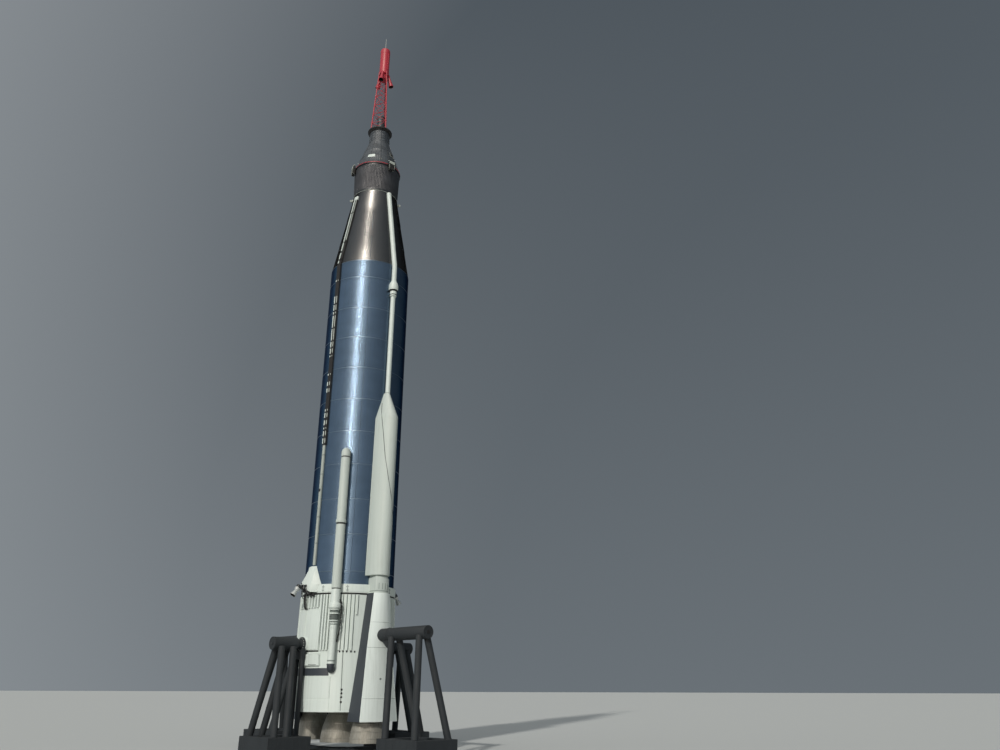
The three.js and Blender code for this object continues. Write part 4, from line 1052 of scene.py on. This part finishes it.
def make_nacelle(letter, polar):
    place = turned_to(polar)
    back = place.inverted()
    shell = Piece(NACELLE_WHITE, DARK, SEALANT_AND_SHADE, HOLLOW, DARK_METAL)

    def rivets(spots):
        shell.heads([moved(place, *spot) for spot in spots], 0.006, 0.003)

    # The flanks are charcoal outside, and the whole shell is near black inside: painted shade.
    def choose(normal, centre):
        local, spot = back.to_3x3() @ normal, back @ centre
        if abs(local.y) > 0.8:
            return 1 if local.y * spot.y > 0 else 3
        return 3 if local.x < -0.2 else 0

    shell.cut_from(f"nacelle_{letter}", choose)
    for z in NACELLE_LAPS:
        shell.pipe([nacelle_point(k / 16 - 1, z, -0.001) for k in range(33)], 0.0045, 6, place, mark=2)
        rivets([nacelle_point(k / 14 - 1, z + s * 0.03) for s in (-1, 1) for k in range(1, 28)])
    for t in (-1, 1):
        edge = [nacelle_point(t, z) for z in (0.97, 2.0, 3.14, 4.0, 4.84)]
        shell.pipe([(x - 0.006, y - t * 0.006, z) for x, y, z in edge], 0.012, 8, place)
        rivets([nacelle_point(t * 0.93, 1.05 + k * 0.12) for k in range(31)])
        # The two upper laps run on over the flank.
        for z in NACELLE_LAPS[:2]:
            x, y, _ = nacelle_point(t, z)
            near, far = sorted((y, y + t * 0.006))
            shell.block((1.58, near, z - 0.014), (x - 0.01, far, z + 0.014), place, 0.002, mark=1)
    port = moved(place, *nacelle_point(-0.1, 2.2)) @ OUTWARD
    shell.turned([(0.03, 0), (0.03, 0.012), (0.018, 0.016)], port, 20, mark=2)
    shell.make(f"nacelle_{letter}_shell", [f"nacelle_{letter}"], crease=25)


make_skirt()
make_nacelle("a", 0)
make_nacelle("b", 180)


# Vernier engines and their fairings

# The vernier's swivel: height, distance from the axis, and the chamber's tilt outwards in degrees.
VERNIER = {"z": 5.05, "pivot": 1.99, "cant": 34}
# Half of the fairing's outlines at its foot and at its apex: distance from the axis and half width.
FAIRING_LOW = [(1.30, 0.50), (1.455, 0.50), (1.74, 0.32), (1.75, 0.10)]
FAIRING_HIGH = [(1.30, 0.225), (1.515, 0.225), (1.57, 0.05), (1.572, 0.02)]


def fairing_point(corner, side, t):
    """A point on the crease above a corner of the fairing; t runs from its foot, 0, to its apex, 1."""
    (x0, y0), (x1, y1) = FAIRING_LOW[corner], FAIRING_HIGH[corner]
    return Vector((x0 + (x1 - x0) * t, side * (y0 + (y1 - y0) * t), 5.13 + 0.62 * t))


def fairing_foot(y):
    """Height of the fairing's slanted foot, which rises from one cheek to the other."""
    return min(5.13, 4.88 + max(0.0, 0.32 - y) * math.tan(math.radians(20)))


# Dark gear that hangs below the fairing's slanted foot: two corners of each box.
HANGING_GEAR = [((1.6, 0.12, 4.79), (1.72, 0.3, 4.93)), ((1.6, -0.26, 4.9), (1.7, -0.12, 5.04)),
                ((1.6, 0.3, 4.74), (1.67, 0.42, 4.85)), ((1.62, -0.08, 4.78), (1.7, 0.07, 4.87))]
# A feed pipe on each side of the swivel.
VERNIER_FEED = [(1.62, 0.19, 4.74), (1.66, 0.2, 4.78), (1.72, 0.17, 4.86), (1.76, 0.12, 4.95), (1.78, 0.085, 5.03)]
# Hoses hang out of the fairing and turn back into the skirt: one kinked route, and each hose's shift and radius.
VERNIER_HOSE = [(1.69, 0.0, 4.86), (1.69, -0.03, 4.75), (1.68, 0.012, 4.66), (1.67, -0.02, 4.57), (1.66, 0.018, 4.48),
                (1.64, 0.0, 4.4), (1.6, 0.03, 4.34)]
VERNIER_HOSES = [(-0.06, 0.013), (-0.1, 0.01), (-0.02, 0.011), (0.03, 0.008)]
# Down the outside of the chamber and its nozzle, round the lip and up inside: radius and distance from the pivot.
CHAMBER = [(0.03, 0.06), (0.06, 0.058), (0.075, 0.05), (0.085, 0.02), (0.085, -0.05), (0.091, -0.054), (0.091, -0.07),
           (0.085, -0.074), (0.082, -0.11), (0.062, -0.14), (0.046, -0.162), (0.052, -0.19), (0.075, -0.25),
           (0.094, -0.31), (0.1, -0.335), (0.106, -0.336), (0.106, -0.341), (0.094, -0.341), (0.07, -0.25),
           (0.036, -0.17)]


def make_vernier(letter, polar):
    place = turned_to(polar)
    back = place.inverted()
    fairing = Piece(WHITE, HOLLOW)

    # The underside and the faces turned inwards take the near-black finish: painted shade under and inside the fairing.
    def choose(normal, centre):
        local, spot = back.to_3x3() @ normal, back @ centre
        inward = local.x * (spot.x - 1.45) + local.y * spot.y < -0.02
        return int(local.z < -0.8 or inward)

    fairing.cut_from(f"vernier_fairing_{letter}", choose)
    for side in (-1, 1):
        spots = [fairing_point(2, side, 0.04 + 0.066 * k) + Vector((0, -side * 0.02, 0)) for k in range(14)]
        fairing.heads([moved(place, *spot) for spot in spots], 0.006, 0.006)
        rim = [(x, side * y, fairing_foot(side * y) + 0.008) for x, y in ((1.5, 0.47), (1.74, 0.32), (1.75, 0.112))]
        fairing.pipe(rim[0 if side > 0 else 1:], 0.009, 8, place)
    # A round port in the front plate, low at its higher end.
    fairing.heads([moved(place, 1.728, -0.25, 5.18)], 0.028, 0.012, 20, mark=1)
    fairing.make(f"vernier_{letter}_fairing", [f"vernier_fairing_{letter}"], crease=20, bevel=0.004)

    mount = Piece(DARK_METAL, BLACK, SILVER)
    mount.block((1.5, -0.085, 4.975), (1.869, 0.085, 5.125), place, 0.01)
    mount.block((1.6, -0.11, 4.885), (1.75, 0.11, 4.98), place, 0.012, mark=1)
    for low, high in HANGING_GEAR:
        mount.block(low, high, place, 0.02, mark=1)
    for side in (-1, 1):
        feed = [(x, side * y, z) for x, y, z in VERNIER_FEED]
        mount.pipe(feed, 0.014, place=place, mark=2)
        mount.pipe([(x, y * 1.35, z - 0.03) for x, y, z in feed], 0.011, place=place, mark=1)
    for shift, radius in VERNIER_HOSES:
        route = [(x, shift + y * (1.0 + 8 * shift), z) for x, y, z in VERNIER_HOSE]
        mount.pipe(route, radius, place=place, mark=1)
    mount.heads([moved(place, 1.869, s * 0.06, z) for s in (-1, 1) for z in (5.0, 5.1)], 0.012, 0.01)
    mount.make(f"vernier_{letter}_bracket", [f"vernier_mount_{letter}"])

    engine = Piece(BRIGHT, DARK_METAL, HOLLOW)
    pivot, level = VERNIER["pivot"], VERNIER["z"]
    lie = moved(place, pivot, 0, level) @ Matrix.Rotation(math.radians(-VERNIER["cant"]), 4, "Y")
    engine.turned(CHAMBER, lie, 40, marks=[1] * 4 + [0] * 13 + [2] * 2)
    for z, r in ((-0.22, 0.066), (-0.27, 0.083)):
        band = [(r - 0.006, z - 0.01), (r + 0.007, z - 0.006), (r + 0.003, z + 0.008), (r - 0.01, z + 0.01)]
        engine.turned(band, lie, 36)
    engine.bar((1.8704, 0, level), (pivot, 0, level), 0.055, sides=32, place=place, mark=1)
    engine.make(f"vernier_{letter}_chamber", [f"vernier_engine_{letter}"], f"vernier_{letter}")


make_vernier("a", -90)
make_vernier("b", 90)


# Main engines: each is made about its gimbal point and rides on its own body

GIMBAL_Z = 2.48
# Name, x of the gimbal, length down to the bell's mouth and the mouth's radius.
ENGINES = [("booster_a", 1.56, 2.15, 0.555), ("booster_b", -1.56, 2.15, 0.555), ("sustainer", 0.0, 2.18, 0.61)]
# The bell's throat: radius and height over the gimbal.
THROAT = {"r": 0.165, "z": -0.76}


def bell_radius(t, mouth):
    return THROAT["r"] + (mouth - THROAT["r"]) * math.sin(t * FULL / 4) ** 1.15


# The chamber above the throat, from its dome down: radius and distance from the gimbal.
ENGINE_TOP = [(0.118, -0.202), (0.16, -0.225), (0.19, -0.25), (0.212, -0.288), (0.221, -0.292), (0.221, -0.33),
              (0.214, -0.334), (0.214, -0.52), (0.205, -0.58), (0.185, -0.66), (0.168, -0.72)]
# Feed pipes from the pumps: route from the gimbal, and radius.
ENGINE_FEEDS = [([(0.0, 0.12, -0.24), (0.0, 0.19, -0.27), (0.0, 0.235, -0.33), (0.0, 0.24, -0.4)], 0.022),
                ([(0.07, -0.13, -0.24), (0.12, -0.2, -0.3), (0.14, -0.24, -0.5), (0.12, -0.21, -0.7),
                  (0.1, -0.2, -0.8)], 0.018)]
BELL_STEPS = 18


def make_engine(name, x, length, mouth):
    place = Matrix.Translation((x, 0, GIMBAL_Z))
    throat = THROAT["z"]
    engine = Piece(BELL, DARK_METAL, HOLLOW, SILVER)

    def bell_point(t):
        return bell_radius(t, mouth), throat - (length + throat) * t

    outer = [bell_point(k / BELL_STEPS) for k in range(BELL_STEPS + 1)]
    inner = [(r - 0.014, z) for r, z in reversed(outer)]
    top = len(ENGINE_TOP)

    # The wall is a basket of brazed tubes: 80 ridges round the bell, 3 mm deep.
    def tubes(angle, i):
        return 0.003 * math.cos(80 * angle) if top < i <= top + BELL_STEPS else 0.0

    engine.turned([*ENGINE_TOP, *outer, *inner, (0.12, throat - 0.003)], place, 320, tubes,
                  marks=[1] * (top - 1) + [0] * (BELL_STEPS + 2) + [2] * (BELL_STEPS + 1))
    for t in (0.12, 0.28, 0.44, 0.6, 0.76, 0.9):
        r, z = bell_point(t)
        band = [(r - 0.004, z - 0.024), (r + 0.012, z - 0.016), (r + 0.009, z + 0.014), (r - 0.012, z + 0.022)]
        engine.turned(band, place, 96)
    inside, outside = mouth - 0.016, mouth + 0.008
    lip = [(inside, 0.001 - length), (outside, 0.002 - length), (outside, 0.03 - length), (inside, 0.034 - length)]
    engine.turned(lip, place, 96, looped=True)
    # Fuel manifold round the chamber, its feeds, and the yoke on the gimbal.
    turns = [FULL * k / 14 for k in range(14)]
    engine.turned([(0.232 + 0.028 * math.cos(a), 0.028 * math.sin(a) - 0.4) for a in turns], place, looped=True, mark=3)
    for side in (-1, 1):
        near, far = sorted((side * 0.09, side * 0.13))
        engine.block((-0.06, near, -0.26), (0.06, far, 0.06), place, mark=1)
        nut = moved(place, 0, side * 0.13) @ Matrix.Rotation(-side * FULL / 4, 4, "X")
        engine.turned([(0.03, 0), (0.03, 0.006), (0.022, 0.009)], nut, 6, mark=3)
    for route, radius in ENGINE_FEEDS:
        engine.pipe(route, radius, 12, place, mark=3)
    engine.make(f"{name}_chamber_and_bell", [f"{name}_engine"], name)


for row in ENGINES:
    make_engine(*row)


# Display stands

# Height of the beam's middle, where its legs meet it, how they lean outwards and sideways, half the distance
# between them under the beam, and the plinth's two ends. Stations and ends are distances from the axis.
SIDE = {"z": 3.25, "stations": (2.08, 2.49), "rake": 0.12, "splay": 0.21, "spread": 0.16, "plinth": (1.61, 3.08)}
FRONT = {"z": 3.525, "stations": (2.733, 4.124), "rake": 0.19, "splay": 0.164, "spread": 0.133,
         "plinth": (3.08, 4.96)}
BEAM_R = 0.2
LEG_R = 0.105
# The plinths: heights of foot and top, width of a cross rail, and how far a side rail reaches past the legs.
PLINTH = {"foot": 0.121, "top": 0.54, "wall": 0.13, "over": 0.15}
# The two posts beside the skirt, and the saddle between them that takes the flange.
POST = {"x": 1.725, "y": 0.17, "r": 0.078, "foot": 0.44, "top": 2.88}
SADDLE = [(-0.248, 2.8), (-0.2, 2.78), (0.2, 2.78), (0.248, 2.8), (0.248, 3.1), (0.235, 3.12), (0.212, 3.12),
          (0.16, 3.075), (0.08, 3.035), (0.0, 3.024), (-0.08, 3.035), (-0.16, 3.075), (-0.212, 3.12), (-0.235, 3.12),
          (-0.248, 3.1)]


def lying(piece, place, z, profile, segments, **how):
    """Turns a profile of (radius, distance from the axis) about a level line outwards at height z."""
    piece.turned(profile, moved(place, z=z) @ OUTWARD, segments, **how)


def make_legs(name, polar, stand, with_posts):
    place = turned_to(polar)
    legs = Piece(STAND, DARK_METAL)
    drop = stand["z"] - PLINTH["top"] + 0.1
    for x in stand["stations"]:
        for side in (-1, 1):
            head = Vector((x, side * stand["spread"], stand["z"]))
            foot = Vector((x + stand["rake"] * drop, side * (stand["spread"] + stand["splay"] * drop),
                           stand["z"] - drop))
            along = (foot - head).normalized()
            legs.bar(foot, head + along * 0.1, LEG_R, sides=40, place=place)
            # The weld where the leg meets the plinth.
            toe = foot - along * 0.1
            legs.bar(toe + along * 0.02, toe - along * 0.015, LEG_R + 0.009, LEG_R + 0.004, 40, place)
    reach = stand["spread"] + stand["splay"] * (stand["z"] - PLINTH["top"]) + PLINTH["over"]
    x0, x1 = stand["plinth"]
    z0, z1, wall = PLINTH["foot"], PLINTH["top"], PLINTH["wall"]
    for side in (-1, 1):
        near, far = sorted((side * reach, side * (reach - 2 * PLINTH["over"])))
        legs.block((x0, near, z0), (x1, far, z1), place, 0.008)
        near, far = sorted((side * reach, side * (reach + 0.006)))
        for k in range(6):
            x = x0 + 0.12 + (x1 - x0 - 0.24) * k / 5
            legs.block((x - 0.03, near, z0 + 0.02), (x + 0.03, far, z1 - 0.02), place, 0.002)
    # Cross rails lie inside the side rails, with no face flush with theirs.
    under_legs = [x + stand["rake"] * (stand["z"] - PLINTH["top"]) for x in stand["stations"]]
    half = wall / 2 - 0.006
    for x in (x0 + wall / 2, *under_legs, x1 - wall / 2):
        legs.block((x - half, 0.012 - reach, z0 + 0.004), (x + half, reach - 0.012, z1 - 0.004), place, 0.008)
    if with_posts:
        for y in (-POST["y"], POST["y"]):
            legs.bar((POST["x"], y, POST["foot"]), (POST["x"], y, POST["top"]), POST["r"], sides=32, place=place)
            legs.bar((POST["x"], y, 0.5), (POST["x"], y, 0.56), 0.098, 0.084, 32, place)
        legs.skin([[(x, y, z) for y, z in SADDLE] for x in (1.672, 1.79)], place)
        legs.heads([moved(place, 1.79, s * 0.215, z) for s in (-1, 1) for z in (2.86, 3.0)], 0.018, 0.014, mark=1)
    legs.make(f"stand_{name}_legs", [f"stand_legs_{name}"], bevel=0.003 if with_posts else 0.0)


def bolt_circle(place, x, z, radius, count, first):
    """Places round a level line outwards, at a distance from the axis and a height."""
    turns = [FULL * k / count + first for k in range(count)]
    return [moved(place, x, radius * math.cos(a), z + radius * math.sin(a)) for a in turns]


def make_side_stand(name, polar):
    place = turned_to(polar)
    z = SIDE["z"]
    boss = Piece(WHITE, SEALANT_AND_SHADE)
    lying(boss, place, z, [(0.23, 1.45), (0.23, 1.64), (0.222, 1.655), (0.215, 1.6646)], 64)
    lying(boss, place, z, [(0.236, 1.58), (0.25, 1.585), (0.25, 1.61), (0.236, 1.616)], 64)
    boss.make(f"stand_{name}_boss", [f"stand_boss_{name}"])

    beam = Piece(STAND, DARK_METAL, PALE)
    lying(beam, place, z, [(0.2, 1.6655), (0.219, 1.667), (0.225, 1.673), (0.225, 1.717), (0.219, 1.7245),
                           (0.165, 1.725), (0.158, 1.735), (0.15, 1.755), (0.15, 1.86), (0.157, 1.878),
                           (0.17, 1.8895), (0.19, 1.8905), (BEAM_R, 1.9), (BEAM_R, 2.75), (0.192, 2.759),
                           (0.17, 2.7595), (0.166, 2.755), (0.05, 2.755)], 64)
    lying(beam, place, z, [(0.052, 2.75), (0.052, 2.764), (0.04, 2.768)], 24, mark=1)
    beam.heads(bolt_circle(place, 1.7245, z, 0.195, 16, FULL / 32), 0.0135, 0.014, mark=2)
    beam.make(f"stand_{name}_beam", [f"stand_beam_{name}"])
    make_legs(name, polar, SIDE, True)


def make_nacelle_stand(name, polar):
    place = turned_to(polar)
    z = FRONT["z"]
    boss = Piece(STAND, DARK_METAL)
    boss.cut_from(f"stand_boss_{name}")
    boss.make(f"stand_{name}_socket", [f"stand_boss_{name}"], crease=30, bevel=0.004)

    beam = Piece(STAND, DARK_METAL, BLACK)
    lying(beam, place, z, [(0.205, 2.4705), (0.214, 2.473), (0.214, 2.505), (0.206, 2.5105), (BEAM_R, 2.514),
                           (BEAM_R, 4.385), (0.192, 4.399), (0.172, 4.3995), (0.168, 4.393), (0.04, 4.393)], 64)
    lying(beam, place, z, [(0.06, 4.385), (0.06, 4.403), (0.045, 4.406)], 32, mark=2)
    beam.heads(bolt_circle(place, 4.392, z, 0.13, 8, 0.2), 0.011, 0.01, mark=1)
    beam.make(f"stand_{name}_beam", [f"stand_beam_{name}"])
    make_legs(name, polar, FRONT, False)


make_side_stand("side_a", -90)
make_side_stand("side_b", 90)
make_nacelle_stand("nacelle_a", 0)
make_nacelle_stand("nacelle_b", 180)

ground = Piece(STAND)
ground.cut_from("base_frame")
ground.make("tie_frame", ["base_frame"], crease=30, bevel=0.006)

truss = Piece(DARK_METAL)
truss.cut_from("thrust_frame")
truss.make("thrust_beams", ["thrust_frame"], crease=30, bevel=0.008)

for name in ("booster_a_gimbal", "booster_b_gimbal", "sustainer_gimbal"):
    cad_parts[name].material_slots[0].material = DARK_METAL


# Studio: pale floor, soft light from the left of the camera, and a tall strip for the tank's long highlight

# Key light: azimuth and height above the horizon in degrees, strength and apparent width in degrees.
KEY = {"azimuth": -62.0, "height": 27.0, "strength": 2.2, "width": 2.5}
# Upright panels seen only in reflections: azimuth, width, radiance, foot and top.
PANELS = [(-58.0, 0.5, 170.0, 0.0, 64.0), (-58.0, 14.0, 1.3, 0.0, 100.0), (-58.0, 2.6, 130.0, 64.0, 120.0)]
# Distance of the nearest panel from the axis; each next one stands a metre further away.
PANEL_AWAY = 45.0
# Warm light, so that the highlight on the tank, whose blue is a painted reflection of a blue sky, comes out nearly
# white.
PANEL_TINT = (1.0, 0.87, 0.73)


def make_lights():
    sun = bpy.data.lights.new("key", "SUN")
    sun.energy = KEY["strength"]
    sun.angle = math.radians(KEY["width"])
    sun.color = (1.0, 0.98, 0.94)
    key = bpy.data.objects.new("key", sun)
    azimuth, height = math.radians(KEY["azimuth"]), math.radians(KEY["height"])
    towards = Vector((math.cos(azimuth), math.sin(azimuth), math.tan(height)))
    key.rotation_euler = towards.to_track_quat("Z", "Y").to_euler()
    key.visible_glossy = False
    bpy.context.scene.collection.objects.link(key)
    for number, (degrees, width, radiance, foot, top) in enumerate(PANELS):
        light = bpy.data.lights.new(f"panel_{number}", "AREA")
        light.shape = "RECTANGLE"
        light.size, light.size_y = width, top - foot
        light.color = PANEL_TINT
        light.energy = radiance * math.pi * width * (top - foot)
        panel = bpy.data.objects.new(f"panel_{number}", light)
        facing = Vector((math.cos(math.radians(degrees)), math.sin(math.radians(degrees)), 0))
        panel.location = facing * (PANEL_AWAY + number) + Vector((0, 0, (foot + top) / 2))
        panel.rotation_euler = facing.to_track_quat("Z", "Y").to_euler()
        panel.visible_diffuse = False
        bpy.context.scene.collection.objects.link(panel)


# The studio wall is palest at this azimuth.
PALE_AZIMUTH = math.radians(-80)


def make_backdrop():
    """A studio wall all round: pale on the camera's left, greyer behind the rocket, lighter down to the floor."""
    world = bpy.data.worlds.new("studio")
    world.use_nodes = True
    tree = world.node_tree
    heading = add_node(tree, "ShaderNodeTexCoord").outputs["Generated"]
    pale_side = Vector((math.cos(PALE_AZIMUTH), math.sin(PALE_AZIMUTH), 0)).normalized()
    facing = add_node(tree, "ShaderNodeVectorMath", {0: heading, 1: pale_side}, operation="DOT_PRODUCT")
    facing = facing.outputs["Value"]
    height = add_node(tree, "ShaderNodeSeparateXYZ", {0: heading}).outputs["Z"]
    wall = blend(tree, spread(tree, facing, 0.0, 1.0, -0.55, 0.7), linear("525b63"), linear("e3e8ec"))
    low = blend(tree, spread(tree, facing, 0.0, 1.0, -0.8, 0.6), linear("7a8288"), linear("ced4d8"))
    lit = blend(tree, spread(tree, height, 0.85, 0.0, 0.0, 0.8), wall, low)
    back = tree.nodes["Background"]
    tree.links.new(lit, back.inputs["Color"])
    back.inputs["Strength"].default_value = 0.8
    bpy.context.scene.world = world


def make_studio():
    floor = bpy.data.meshes.new("floor")
    reach = 1200.0
    corners = [(-reach, -reach, 0), (reach, -reach, 0), (reach, reach, 0), (-reach, reach, 0)]
    floor.from_pydata(corners, [], [(0, 1, 2, 3)])
    plane = bpy.data.objects.new("floor", floor)
    plane.location.z = -0.002
    bpy.context.scene.collection.objects.link(plane)
    cloth = sprayed_enamel("pale_studio_floor", "cbccc8", "c0c1bd", 0.9, 0.2)
    for node in cloth.node_tree.nodes:
        if node.type == "BSDF_PRINCIPLED":
            node.inputs["Specular IOR Level"].default_value = 0.0
    floor.materials.append(cloth)
    make_lights()
    make_backdrop()
    bpy.context.scene.view_settings.view_transform = "Standard"


make_studio()
